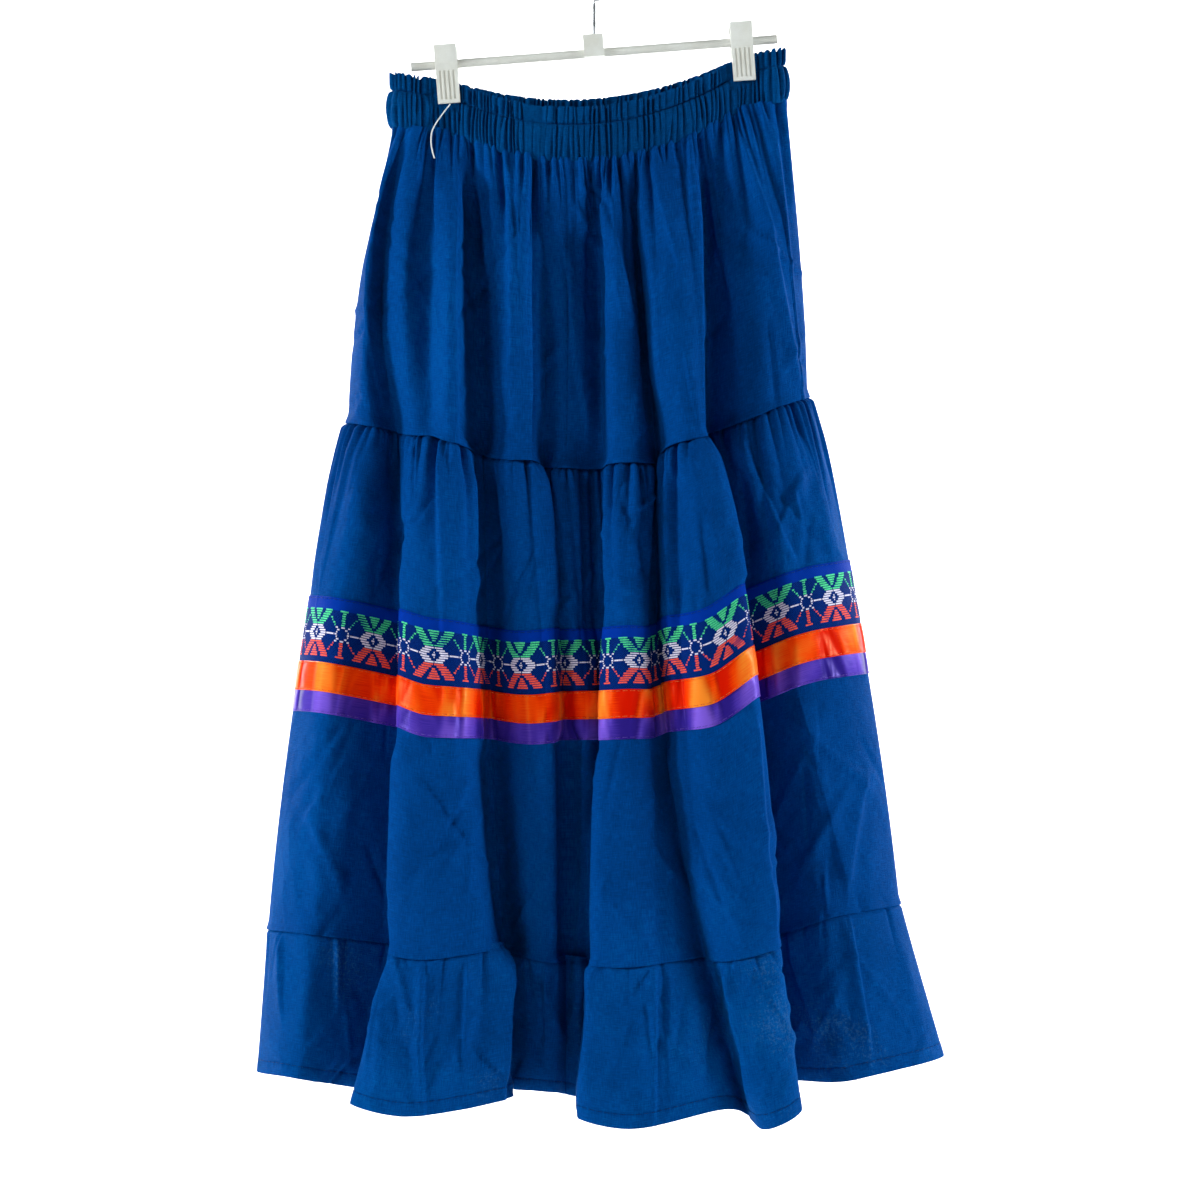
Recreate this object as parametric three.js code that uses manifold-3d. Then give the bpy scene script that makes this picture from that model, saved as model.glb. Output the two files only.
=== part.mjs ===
// A three-tier gathered dance skirt, hung by its elastic waist from a plain hanger with two clips.
// Units are millimetres. +Z is up, +X is to the right and -Y is the front. The origin is the point
// on the inside of the hook that rests on a rail.
import * as THREE from "three";
import Module from "manifold-3d";

const wasm = await Module();
wasm.setup();

// Hanger. The bar leans, because the right clip holds the skirt a little higher than the left one.
const BAR_DROP = 90;
const BAR_RADIUS = 4;
const BAR_LENGTH = 330;
const BAR_TILT = THREE.MathUtils.degToRad(4.4);
const HUB = { width: 18, depth: 14, height: 20 };
const HOOK = { innerRadius: 20, wire: 3.4, sweepDeg: 262, seat: 6 };
const CLIP_SPACING = 266;
const CLIP = { width: 20, belowBar: 36, gripDepth: 25, grooves: 4, grooveWidth: 2, grooveDepth: 0.9 };

// Waistband: an elastic casing with a narrow stitched header, gathered all the way round.
const BAND = { left: -182, right: 171, topBelowBar: 13, height: 49, header: 15 };
const BAND_WALL = 2.2;
const BAND_GATHERS = 84;
const BAND_RELIEF = 1.6;
const BAND_PINCH = 3.2;
const BAND_EAR = 3.4;
const BAND_END_ROUND = 10;
const SAG = { front: 39, back: 34 };
const BULGE = { front: 14, back: 11 };
const EAR_LIFT = { left: 9, right: 4 };

// Cloth and its cut, measured down the cloth from the waistband's lower edge.
const WALL = 1.2;
const GAP = 0.3;
const UPPER_TIER = 268;
const MIDDLE_TIER = 455;
const FLOUNCE = 137;
const TRIM_START = 148;
const WOVEN_WIDTH = 58;
const ORANGE_WIDTH = 25;
const PURPLE_SHOWN = 19;
const RIBBON_WALL = 1;
const RIBBON_GAP = 0.35;
const PUFF = { rise: 5, reach: 55 };

// Heights where the fold table is given, as distances down the cloth.
const LEVELS = ["waist", "hip", "seam1", "trim", "seam2", "hem"];
const SEAM1 = UPPER_TIER;
const SEAM2 = UPPER_TIER + MIDDLE_TIER;
const DOWN = {
  waist: 0,
  hip: 100,
  seam1: SEAM1,
  trim: SEAM1 + TRIM_START + 52,
  seam2: SEAM2,
  hem: SEAM2 + FLOUNCE,
};

// Fold lines that run from waist to hem, once round the skirt: along the front from left to right,
// then along the back from right to left. x is the place across, at waist, hip, seam1, trim, seam2
// and hem. out is how far the line stands out from the middle plane at the five lower levels; at
// the waist it lies on the band. drop is how much lower than its own length of cloth the line
// hangs at seam1, trim, seam2 and hem, because the gathers beside it give or take cloth.
const FRONT = [
  { name: "left_side", x: [-182, -203, -221, -262, -293, -303], out: [0, 0, 0, 0, 0], drop: [0, 13, 5, -3] },
  { name: "a_crest", x: [-170, -196, -197, -228, -247, -261], out: [26, 38, 55, 60, 64], drop: [6, 14, 1, -9] },
  { name: "a_hollow", x: [-162, -186, -175, -165, -170, -195], out: [14, 22, 32, 34, 32], drop: [7, 22, 8, 4] },
  { name: "b_left_edge", x: [-153, -165, -159, -167, -175, -208], out: [32, 42, 80, 94, 106], drop: [11, 21, 11, 6] },
  { name: "b_face", x: [-140, -144, -141, -146, -146, -164], out: [24, 48, 92, 108, 122], drop: [11, 28, 13, 10] },
  { name: "b_crest", x: [-127, -125, -125, -121, -112, -115], out: [44, 58, 92, 106, 116], drop: [19, 31, 10, 5] },
  { name: "b_right_edge", x: [-119, -118, -114, -107, -79, -71], out: [40, 50, 78, 86, 98], drop: [18, 27, 2, -7] },
  { name: "c_left_hollow", x: [-112, -107, -98, -92, -76, -74], out: [16, 28, 42, 42, 38], drop: [15, 19, -2, -14] },
  { name: "c_crest", x: [-85, -76, -76, -61, -54, -53], out: [36, 48, 66, 60, 52], drop: [13, 16, -3, -22] },
  { name: "c_right_edge", x: [-58, -57, -55, -37, -32, -34], out: [36, 48, 70, 62, 54], drop: [6, 7, -7, -28] },
  { name: "c_right_hollow", x: [-49, -44, -46, -28, -24, -25], out: [20, 30, 46, 42, 38], drop: [7, 2, -10, -28] },
  { name: "centre_rise", x: [-26, -23, -25, -12, -13, -14], out: [32, 40, 55, 46, 41], drop: [7, 0, -11, -28] },
  { name: "d_left_hollow", x: [-2, 3, 7, 12, 0, -3], out: [16, 28, 38, 34, 32], drop: [7, -1, -10, -28] },
  { name: "d_left_edge", x: [11, 11, 15, 8, -3, -12], out: [34, 46, 72, 94, 110], drop: [6, 2, -11, -18] },
  { name: "d_crest", x: [22, 25, 32, 30, 31, 31], out: [38, 54, 86, 110, 124], drop: [8, 4, -9, -9] },
  { name: "d_slope", x: [30, 33, 47, 47, 80, 116], out: [32, 44, 76, 98, 112], drop: [9, 5, -11, -16] },
  { name: "d_notch", x: [38, 43, 56, 59, 96, 133], out: [15, 28, 55, 80, 94], drop: [8, 1, -10, -6] },
  { name: "e_left_edge", x: [47, 56, 67, 72, 108, 143], out: [36, 46, 79, 98, 116], drop: [0, 2, -4, 6] },
  { name: "e_crest", x: [67, 76, 83, 102, 131, 157], out: [42, 58, 92, 112, 126], drop: [4, 6, 0, 8] },
  { name: "e_right_edge", x: [88, 91, 95, 134, 158, 177], out: [38, 54, 86, 104, 114], drop: [8, -6, 2, 7] },
  { name: "f_hollow", x: [97, 102, 100, 131, 155, 171], out: [14, 24, 34, 34, 32], drop: [5, 0, 0, -8] },
  { name: "f_crest", x: [127, 141, 147, 175, 201, 222], out: [28, 34, 50, 52, 58], drop: [8, 2, 2, 8] },
  { name: "f_crease", x: [154, 170, 177, 217, 243, 271], out: [18, 24, 32, 38, 44], drop: [1, 0, 2, 8] },
];
const BACK = [
  { name: "right_side", x: [171, 183, 192, 237, 275, 315], out: [0, 0, 0, 0, 0], drop: [-3, 1, 5, 11] },
  { name: "g_crest", x: [152, 168, 176, 214, 240, 268], out: [24, 36, 52, 58, 66], drop: [0, 2, 4, 8] },
  { name: "g_hollow", x: [130, 138, 142, 172, 190, 206], out: [14, 24, 34, 36, 38], drop: [3, 2, 0, 0] },
  { name: "k_right_edge", x: [115, 125, 130, 168, 184, 206], out: [32, 44, 76, 90, 104], drop: [4, 3, 0, 2] },
  { name: "k_crest", x: [87, 96, 101, 128, 145, 160], out: [42, 56, 90, 110, 124], drop: [6, 4, 0, 4] },
  { name: "k_left_edge", x: [63, 66, 70, 80, 88, 92], out: [36, 50, 80, 96, 110], drop: [6, 4, -4, -4] },
  { name: "m_hollow", x: [50, 50, 50, 66, 74, 78], out: [16, 28, 40, 38, 38], drop: [6, 3, -8, -16] },
  { name: "m_right_crest", x: [30, 28, 27, 34, 38, 42], out: [36, 50, 74, 84, 92], drop: [6, 4, -6, -12] },
  { name: "m_left_crest", x: [-4, -6, -7, -8, -8, -8], out: [36, 50, 78, 90, 102], drop: [6, 4, -6, -12] },
  { name: "n_hollow", x: [-25, -27, -29, -33, -36, -38], out: [16, 26, 38, 36, 34], drop: [7, 4, -8, -16] },
  { name: "n_right_crest", x: [-46, -50, -52, -60, -66, -68], out: [38, 52, 86, 104, 118], drop: [8, 8, -4, -4] },
  { name: "n_left_crest", x: [-84, -90, -96, -116, -128, -140], out: [40, 54, 88, 108, 124], drop: [10, 14, 2, 2] },
  { name: "p_hollow", x: [-104, -114, -120, -138, -148, -156], out: [16, 26, 36, 36, 36], drop: [10, 16, 2, -4] },
  { name: "p_right_crest", x: [-128, -138, -146, -168, -182, -194], out: [34, 46, 70, 82, 92], drop: [8, 16, 4, 0] },
  { name: "p_left_crest", x: [-153, -168, -178, -212, -232, -246], out: [28, 40, 62, 72, 80], drop: [5, 14, 4, -2] },
];
const LINES = [
  ...FRONT.map((line) => ({ ...line, side: "front", sign: -1 })),
  ...BACK.map((line) => ({ ...line, side: "back", sign: 1 })),
];
const PER_FOLD = 3;
const COLUMNS = LINES.length * PER_FOLD;

// Where each tier's two upright seams run: the fold lines of the seam at the front and at the back.
const SEAMS = {
  upper: ["c_right_edge", "k_left_edge"],
  middle: ["c_left_hollow", "k_right_edge"],
  flounce: ["c_right_hollow", "m_hollow"],
};

// Rows down each tier, from its own top edge.
const UPPER_ROWS = [0, 10, 38, 100, 184, UPPER_TIER];
const ORANGE_START = TRIM_START + WOVEN_WIDTH;
const PURPLE_START = ORANGE_START + ORANGE_WIDTH;
const TRIM_END = PURPLE_START + PURPLE_SHOWN;
const MIDDLE_ROWS = [
  0, 12, 46, 96, TRIM_START, ORANGE_START, PURPLE_START, TRIM_END, 335, 400, MIDDLE_TIER,
];
const FLOUNCE_ROWS = [0, 12, 66, FLOUNCE];

// How far gathers push the cloth out, at distances down a tier.
const UPPER_PUCKER = [[0, 0.6], [10, 1.7], [38, 1.3], [100, 0]];
const MIDDLE_PUCKER = [[0, 0.5], [12, 1.6], [46, 1.1], [96, 0]];
const TUCK_EVERY = 5;
const TUCK_RISE = [[0, 0.5], [12, 2.2], [66, 1.6], [FLOUNCE, 0.6]];

const BAND_BOTTOM = BAR_DROP + BAND.topBelowBar + BAND.height;
const CLIP_X = (CLIP_SPACING / 2) * Math.cos(BAR_TILT);

// Value of a short table of [place, value] pairs at a place, straight between its rows.
function fromTable(table, place) {
  const last = table[table.length - 1];
  if (place >= last[0]) return last[1];
  const next = table.findIndex((entry) => entry[0] > place);
  const [p0, v0] = table[next - 1];
  const [p1, v1] = table[next];
  return v0 + ((v1 - v0) * (place - p0)) / (p1 - p0);
}

// Height of the waistband's lower edge: it follows the bar's lean, sags between the clips and
// lifts a little at the ends. The clips' width softens the bend under them.
function sharpEdge(x, side) {
  const lean = -BAND_BOTTOM + x * Math.tan(BAR_TILT);
  if (Math.abs(x) <= CLIP_X) {
    const t = (x + CLIP_X) / (2 * CLIP_X);
    return lean - SAG[side] * 4 * t * (1 - t);
  }
  const [end, lift] = x < 0 ? [-BAND.left, EAR_LIFT.left] : [BAND.right, EAR_LIFT.right];
  return lean + lift * Math.min(1, (Math.abs(x) - CLIP_X) / (end - CLIP_X)) ** 2;
}

function bandEdge(x, side) {
  const spread = [-10, -5, 0, 5, 10];
  return spread.reduce((sum, step) => sum + sharpEdge(x + step, side), 0) / spread.length;
}

// How far the band's middle layer stands from the middle plane: pinched in the clips, open
// between them, and round at both ends.
function bandOut(x, side) {
  const flat = CLIP.width / 2 + 5.5;
  const past = Math.abs(x) - CLIP_X;
  const t = (x + CLIP_X - flat) / (2 * (CLIP_X - flat));
  const between = BULGE[side] * 4 * Math.max(0, t * (1 - t));
  const open = past < flat ? between : BAND_EAR * Math.min(1, (past - flat) / 12);
  const toEnd = Math.max(0, Math.min(x - BAND.left, BAND.right - x));
  const inside = Math.min(1, toEnd / BAND_END_ROUND);
  return (BAND_PINCH + open) * Math.sqrt(1 - (1 - inside) ** 2);
}

// A fold line's place at each level: x across, out from the middle plane, and how far it has come
// down, worked out from the length of cloth between two levels.
function levelsOf(line) {
  const out = [bandOut(line.x[0], line.side), ...line.out];
  const drop = [0, line.drop[0] / 2, ...line.drop];
  let fall = 0;
  return LEVELS.map((level, i) => {
    if (i > 0) {
      const cloth = DOWN[level] - DOWN[LEVELS[i - 1]];
      const across = Math.hypot(line.x[i] - line.x[i - 1], out[i] - out[i - 1]);
      fall += Math.sqrt(cloth ** 2 - across ** 2);
    }
    return new THREE.Vector3(line.x[i], line.sign * out[i], fall + drop[i]);
  });
}
const LINE_LEVELS = LINES.map(levelsOf);

// The curve through two or three levels of a tier, at a distance down the cloth.
function between(places, points, down) {
  const sum = new THREE.Vector3();
  points.forEach((point, i) => {
    let weight = 1;
    places.forEach((place, k) => {
      if (k !== i) weight *= (down - place) / (places[i] - place);
    });
    sum.addScaledVector(point, weight);
  });
  return sum;
}

const TIERS = {
  upper: { top: 0, levels: [0, 1, 2] },
  middle: { top: SEAM1, levels: [2, 3, 4] },
  flounce: { top: SEAM2, levels: [4, 5] },
};

// One closed section of a tier: the columns' places in plan, and how far each has come down.
function section(tier, row) {
  const places = tier.levels.map((i) => DOWN[LEVELS[i]]);
  const knots = LINE_LEVELS.map((levels) =>
    between(places, tier.levels.map((i) => levels[i]), tier.top + row),
  );
  const curve = new THREE.CatmullRomCurve3(knots, true, "centripetal");
  return Array.from({ length: COLUMNS }, (_, j) => curve.getPoint(j / COLUMNS));
}

const WAIST_SECTION = section(TIERS.upper, 0);

// The same edge as the tier's own columns have it, straight from column to column.
const WAIST_EDGE = { front: [], back: [] };
WAIST_SECTION.forEach((point, j) => {
  const side = j < FRONT.length * PER_FOLD ? "front" : "back";
  WAIST_EDGE[side].push([point.x, bandEdge(point.x, side)]);
});
for (const side of ["front", "back"]) {
  WAIST_EDGE[side].push([BAND.left, bandEdge(BAND.left, side)]);
  WAIST_EDGE[side].push([BAND.right, bandEdge(BAND.right, side)]);
  WAIST_EDGE[side].sort((a, b) => a[0] - b[0]);
}
const columnEdge = (x, side) => fromTable(WAIST_EDGE[side], Math.max(x, BAND.left));

// The middle layer of a tier's cloth as rows of columns, in the part's frame.
function middleLayer(tier, rows) {
  return rows.map((row, i) =>
    section(tier, row).map((point, j) => {
      const side = j < FRONT.length * PER_FOLD ? "front" : "back";
      const top = bandEdge(WAIST_SECTION[j].x, side);
      return new THREE.Vector3(point.x, point.y, top - point.z - (i === 0 ? GAP : 0));
    }),
  );
}

// Outward directions on a grid of rows and closed columns. The edge rows keep theirs level, so
// that two tiers meet squarely at a seam.
function outward(grid) {
  const last = grid.length - 1;
  return grid.map((row, i) =>
    row.map((_, j) => {
      const along = new THREE.Vector3().subVectors(
        row[(j + 1) % row.length],
        row[(j + row.length - 1) % row.length],
      );
      const up = new THREE.Vector3().subVectors(
        grid[Math.max(0, i - 1)][j],
        grid[Math.min(last, i + 1)][j],
      );
      if (i === 0 || i === last) return new THREE.Vector3(along.y, -along.x, 0).normalize();
      return new THREE.Vector3().crossVectors(along, up).normalize();
    }),
  );
}

// A grid moved along its outward directions by a distance that may differ from point to point.
function movedOut(grid, normals, distance) {
  return grid.map((row, i) =>
    row.map((point, j) => point.clone().addScaledVector(normals[i][j], distance(i, j))),
  );
}

// Closes two layers into one wall. The layers' columns close on themselves on a ring, and a panel
// gets an edge at each end.
function wall(outer, inner, ring) {
  const rows = outer.length;
  const columns = outer[0].length;
  const points = [...outer.flat(), ...inner.flat()];
  const at = (layer, i, j) => layer * rows * columns + i * columns + (j % columns);
  const faces = [];
  const quad = (a, b, c, d) => faces.push(a, b, c, a, c, d);
  const steps = ring ? columns : columns - 1;
  for (let j = 0; j < steps; j++) {
    for (let i = 0; i + 1 < rows; i++) {
      quad(at(0, i, j), at(0, i + 1, j), at(0, i + 1, j + 1), at(0, i, j + 1));
      quad(at(1, i, j), at(1, i, j + 1), at(1, i + 1, j + 1), at(1, i + 1, j));
    }
    quad(at(0, 0, j), at(0, 0, j + 1), at(1, 0, j + 1), at(1, 0, j));
    const low = rows - 1;
    quad(at(0, low, j), at(1, low, j), at(1, low, j + 1), at(0, low, j + 1));
  }
  if (!ring) {
    for (let i = 0; i + 1 < rows; i++) {
      quad(at(0, i, 0), at(1, i, 0), at(1, i + 1, 0), at(0, i + 1, 0));
      const end = columns - 1;
      quad(at(0, i, end), at(0, i + 1, end), at(1, i + 1, end), at(1, i, end));
    }
  }
  return geometryOf(points, faces);
}

function geometryOf(points, faces) {
  const positions = new Float32Array(points.flatMap((point) => [point.x, point.y, point.z]));
  return new THREE.BufferGeometry()
    .setAttribute("position", new THREE.BufferAttribute(positions, 3))
    .setIndex(faces);
}

// Half a tier: the columns from one upright seam to the other, each end drawn back by half a gap.
function panelColumns(grid, first, last) {
  const count = (last - first + COLUMNS) % COLUMNS;
  return grid.map((row) => {
    const part = Array.from({ length: count + 1 }, (_, k) => row[(first + k) % COLUMNS].clone());
    const drawBack = (end, towards) =>
      end.addScaledVector(new THREE.Vector3().subVectors(towards, end).normalize(), GAP / 2);
    drawBack(part[0], part[1].clone());
    drawBack(part[count], part[count - 1].clone());
    return part;
  });
}

const columnOf = (name) => LINES.findIndex((line) => line.name === name) * PER_FOLD;

// Cloth finishes.
const COTTON = new THREE.MeshStandardMaterial({ color: 0x0b4a92, roughness: 0.85, metalness: 0 });
const BAND_COTTON = new THREE.MeshStandardMaterial({ color: 0x0c4484, roughness: 0.88, metalness: 0 });
const WOVEN = new THREE.MeshStandardMaterial({ color: 0x10389a, roughness: 0.8, metalness: 0 });
const ORANGE_SATIN = new THREE.MeshStandardMaterial({ color: 0xff6a1a, roughness: 0.35, metalness: 0 });
const PURPLE_SATIN = new THREE.MeshStandardMaterial({ color: 0x4a2fa6, roughness: 0.35, metalness: 0 });
const CLIP_PLASTIC = new THREE.MeshStandardMaterial({ color: 0xf1efe6, roughness: 0.4, metalness: 0 });
const STEEL = new THREE.MeshStandardMaterial({ color: 0xc4c7cb, roughness: 0.25, metalness: 1 });
const THREAD = new THREE.MeshStandardMaterial({ color: 0xf0efec, roughness: 0.8, metalness: 0 });

const skirt = new THREE.Group();

function addMesh(name, geometry, material, parent = skirt) {
  const mesh = new THREE.Mesh(geometry, material);
  mesh.name = name;
  parent.add(mesh);
  return mesh;
}

// A tier as two panels. rise gives how far each point of the cloth is pushed out by its gathers.
function addTier(name, tier, rows, seams, rise) {
  const grid = middleLayer(tier, rows);
  const normals = outward(grid);
  const outer = movedOut(grid, normals, (i, j) => rise(rows[i], j) + WALL / 2);
  const inner = movedOut(grid, normals, (i, j) => rise(rows[i], j) - WALL / 2);
  const [front, back] = seams.map(columnOf);
  const halves = { left: [back, front], right: [front, back] };
  for (const [half, [first, last]] of Object.entries(halves)) {
    const panel = wall(panelColumns(outer, first, last), panelColumns(inner, first, last), false);
    addMesh(`${name}_${half}`, panel, COTTON);
  }
  return { grid, normals };
}

// One gather to each fold line's columns: out at the second of the three, in at the others.
const gather = (j) => (j % PER_FOLD === 1 ? 1 : -0.6);
addTier("upper_tier", TIERS.upper, UPPER_ROWS, SEAMS.upper, (row, j) =>
  fromTable(UPPER_PUCKER, row) * gather(j),
);

// The middle tier also swells just below its gathered seam.
const puff = (row) => (PUFF.rise * row * Math.exp(1 - row / PUFF.reach)) / PUFF.reach;
const middleRise = (row, j) => fromTable(MIDDLE_PUCKER, row) * gather(j) + puff(row);
const middle = addTier("middle_tier", TIERS.middle, MIDDLE_ROWS, SEAMS.middle, middleRise);
addTier("flounce", TIERS.flounce, FLOUNCE_ROWS, SEAMS.flounce, (row, j) =>
  (j % TUCK_EVERY === 0 ? fromTable(TUCK_RISE, row) : 0) + puff(MIDDLE_TIER),
);

// A ribbon sewn round the middle tier, made from the tier's own rows and moved out.
function addRibbon(name, start, end, material) {
  const panel = movedOut(middle.grid, middle.normals, (i, j) => middleRise(MIDDLE_ROWS[i], j));
  const top = MIDDLE_ROWS.indexOf(start);
  const low = MIDDLE_ROWS.indexOf(end);
  const trim = (row, towards, distance) =>
    row.map((point, j) => point.clone().lerp(towards[j], distance / (end - start)));
  const rows = [
    trim(panel[top], panel[low], GAP / 2),
    trim(panel[low], panel[top], GAP / 2),
  ];
  const normals = [middle.normals[top], middle.normals[low]];
  const under = WALL / 2 + RIBBON_GAP;
  const outer = movedOut(rows, normals, () => under + RIBBON_WALL);
  const inner = movedOut(rows, normals, () => under);
  addMesh(name, wall(outer, inner, true), material);
}
addRibbon("woven_band", TRIM_START, ORANGE_START, WOVEN);
addRibbon("orange_ribbon", ORANGE_START, PURPLE_START, ORANGE_SATIN);
addRibbon("purple_ribbon", PURPLE_START, TRIM_END, PURPLE_SATIN);

// The band's closed line in plan, through places that crowd together at its round ends.
function bandLine() {
  const steps = 30;
  const centre = (BAND.left + BAND.right) / 2;
  const half = (BAND.right - BAND.left) / 2;
  const across = (t) => centre - half * Math.cos(Math.PI * t);
  const points = [];
  for (let i = 0; i < steps; i++) {
    const x = across(i / steps);
    points.push(new THREE.Vector3(x, -bandOut(x, "front"), 0));
  }
  for (let i = steps; i > 0; i--) {
    const x = across(i / steps);
    points.push(new THREE.Vector3(x, bandOut(x, "back"), 0));
  }
  return new THREE.CatmullRomCurve3(points, true, "centripetal");
}

// The band's layer at given heights above its lower edge, pushed out by relief(row, column).
function bandLayer(line, heights, columns, relief) {
  return heights.map((height, i) =>
    Array.from({ length: columns }, (_, j) => {
      const u = j / columns;
      const place = line.getPointAt(u);
      const tangent = line.getTangentAt(u);
      const side = place.y < 0 ? "front" : "back";
      const push = relief(i, j, place.x);
      const z = columnEdge(place.x, side) + 0.1 + height;
      return new THREE.Vector3(place.x + tangent.y * push, place.y - tangent.x * push, z);
    }),
  );
}

// Joins two closed rings of points that may differ in number, turning the same way.
function zipRings(faces, a, b, countA, countB) {
  let i = 0;
  let j = 0;
  while (i < countA || j < countB) {
    const nextA = (i + 1) / countA;
    const nextB = (j + 1) / countB;
    if (j >= countB || (i < countA && nextA <= nextB)) {
      faces.push(a(i), a((i + 1) % countA), b(j % countB));
      i++;
    } else {
      faces.push(a(i % countA), b((j + 1) % countB), b(j));
      j++;
    }
  }
}

// The waistband casing: gathers raised on its outside over a plain inside.
function bandGeometry() {
  const line = bandLine();
  const outerColumns = BAND_GATHERS * 2;
  const innerColumns = 60;
  const seamHeight = BAND.height - BAND.header;
  const heights = [BAND.height, BAND.height - 7, seamHeight, seamHeight / 2, 0];
  const strength = [0.5, 1, 0.35, 1, 0.6];
  const inClip = (x) => Math.abs(Math.abs(x) - CLIP_X) < CLIP.width / 2 + 3;
  const outer = bandLayer(line, heights, outerColumns, (i, j, x) => {
    const relief = inClip(x) && i < 4 ? 0.2 : BAND_RELIEF * strength[i];
    return BAND_WALL / 2 + (j % 2 ? relief : 0);
  });
  const inner = bandLayer(line, [BAND.height, 0], innerColumns, () => -BAND_WALL / 2);
  const points = [...outer.flat(), ...inner.flat()];
  const faces = [];
  const out = (i, j) => i * outerColumns + (j % outerColumns);
  const into = (i, j) => outer.length * outerColumns + i * innerColumns + (j % innerColumns);
  for (let j = 0; j < outerColumns; j++) {
    for (let i = 0; i + 1 < outer.length; i++) {
      faces.push(out(i, j), out(i + 1, j), out(i + 1, j + 1));
      faces.push(out(i, j), out(i + 1, j + 1), out(i, j + 1));
    }
  }
  for (let j = 0; j < innerColumns; j++) {
    faces.push(into(0, j), into(0, j + 1), into(1, j + 1));
    faces.push(into(0, j), into(1, j + 1), into(1, j));
  }
  const low = outer.length - 1;
  zipRings(faces, (j) => out(0, j), (j) => into(0, j), outerColumns, innerColumns);
  zipRings(faces, (j) => into(1, j), (j) => out(low, j), innerColumns, outerColumns);
  return geometryOf(points, faces);
}
addMesh("waistband", bandGeometry(), BAND_COTTON);

// Solids that need a cut or a join.
function solidOf(geometry) {
  const plain = geometry.index ? geometry.toNonIndexed() : geometry;
  const source = plain.getAttribute("position").array;
  const found = new Map();
  const vertices = [];
  const triangles = [];
  for (let i = 0; i < source.length; i += 3) {
    const key = [0, 1, 2].map((k) => Math.round(source[i + k] * 1e4)).join();
    if (!found.has(key)) {
      found.set(key, vertices.length / 3);
      vertices.push(source[i], source[i + 1], source[i + 2]);
    }
    triangles.push(found.get(key));
  }
  const vertProperties = new Float32Array(vertices);
  const triVerts = new Uint32Array(triangles);
  return new wasm.Manifold(new wasm.Mesh({ numProp: 3, vertProperties, triVerts }));
}

function geometryFrom(solid) {
  const mesh = solid.getMesh();
  return new THREE.BufferGeometry()
    .setAttribute("position", new THREE.BufferAttribute(new Float32Array(mesh.vertProperties), 3))
    .setIndex(Array.from(mesh.triVerts));
}

// Everything on the bar leans with it, in a group whose origin is the bar's middle.
const leaning = new THREE.Group();
leaning.position.z = -BAR_DROP;
leaning.rotation.y = -BAR_TILT;
skirt.add(leaning);

// Bar with a hub at its middle, and a hole in the hub for the hook's stem, which stays upright.
function barGeometry() {
  const rod = new THREE.CylinderGeometry(BAR_RADIUS, BAR_RADIUS, BAR_LENGTH, 16);
  rod.rotateZ(Math.PI / 2);
  const hub = new THREE.BoxGeometry(HUB.width, HUB.depth, HUB.height);
  hub.translate(0, 0, HUB.height / 2 - BAR_RADIUS);
  const holeRadius = HOOK.wire / 2 + GAP;
  const hole = new THREE.CylinderGeometry(holeRadius, holeRadius, HUB.height, 12);
  hole.rotateX(Math.PI / 2);
  hole.translate(0, 0, HOOK.seat + HUB.height / 2);
  hole.rotateY(BAR_TILT);
  return geometryFrom(solidOf(rod).add(solidOf(hub)).subtract(solidOf(hole)));
}
addMesh("hanger_bar", barGeometry(), CLIP_PLASTIC, leaning);

// Hook: a stem from the hub, then a round bow whose inside top is the part's origin.
function hookGeometry() {
  const radius = HOOK.innerRadius + HOOK.wire / 2;
  const path = new THREE.CurvePath();
  const stemLow = new THREE.Vector3(0, 0, -BAR_DROP + HOOK.seat + GAP);
  const stemTop = new THREE.Vector3(0, 0, -HOOK.innerRadius - radius);
  const bow = [];
  const steps = 18;
  for (let i = 0; i <= steps; i++) {
    const angle = THREE.MathUtils.degToRad(-90 + (HOOK.sweepDeg * i) / steps);
    const x = radius * Math.cos(angle);
    bow.push(new THREE.Vector3(x, 0, radius * Math.sin(angle) - HOOK.innerRadius));
  }
  path.add(new THREE.LineCurve3(stemLow, stemTop));
  path.add(new THREE.CatmullRomCurve3(bow, false, "centripetal"));
  const section = new THREE.Shape().absarc(0, 0, HOOK.wire / 2, 0, Math.PI * 2);
  return new THREE.ExtrudeGeometry(section, { steps: 30, extrudePath: path, curveSegments: 5 });
}
addMesh("hanger_hook", hookGeometry(), STEEL);

// Side outline of a front jaw, as distance from the middle plane and height from the bar.
const GRIP = BAND_PINCH + BAND_WALL / 2 + 0.2 + GAP;
const JAW_OUTLINE = [
  [GRIP, -CLIP.belowBar],
  [GRIP + 2.6, -CLIP.belowBar],
  [GRIP + 3.1, -CLIP.belowBar + 3],
  [8.7, -8],
  [9, 0],
  [12.6, 15.5],
  [10, 16.5],
  [5.9, 1],
  [5.9, -8],
  [GRIP, -11],
];

function extrudedAcross(outline, width) {
  const shape = new THREE.Shape(outline.map(([out, up]) => new THREE.Vector2(out, up)));
  const solid = new THREE.ExtrudeGeometry(shape, { depth: width, bevelEnabled: false, curveSegments: 8 });
  solid.translate(0, 0, -width / 2);
  // The outline's first axis becomes -Y, its second +Z, and the depth runs along X.
  const turn = new THREE.Matrix4().set(0, 0, -1, 0, -1, 0, 0, 0, 0, 1, 0, 0, 0, 0, 0, 1);
  return solid.applyMatrix4(turn);
}

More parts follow.
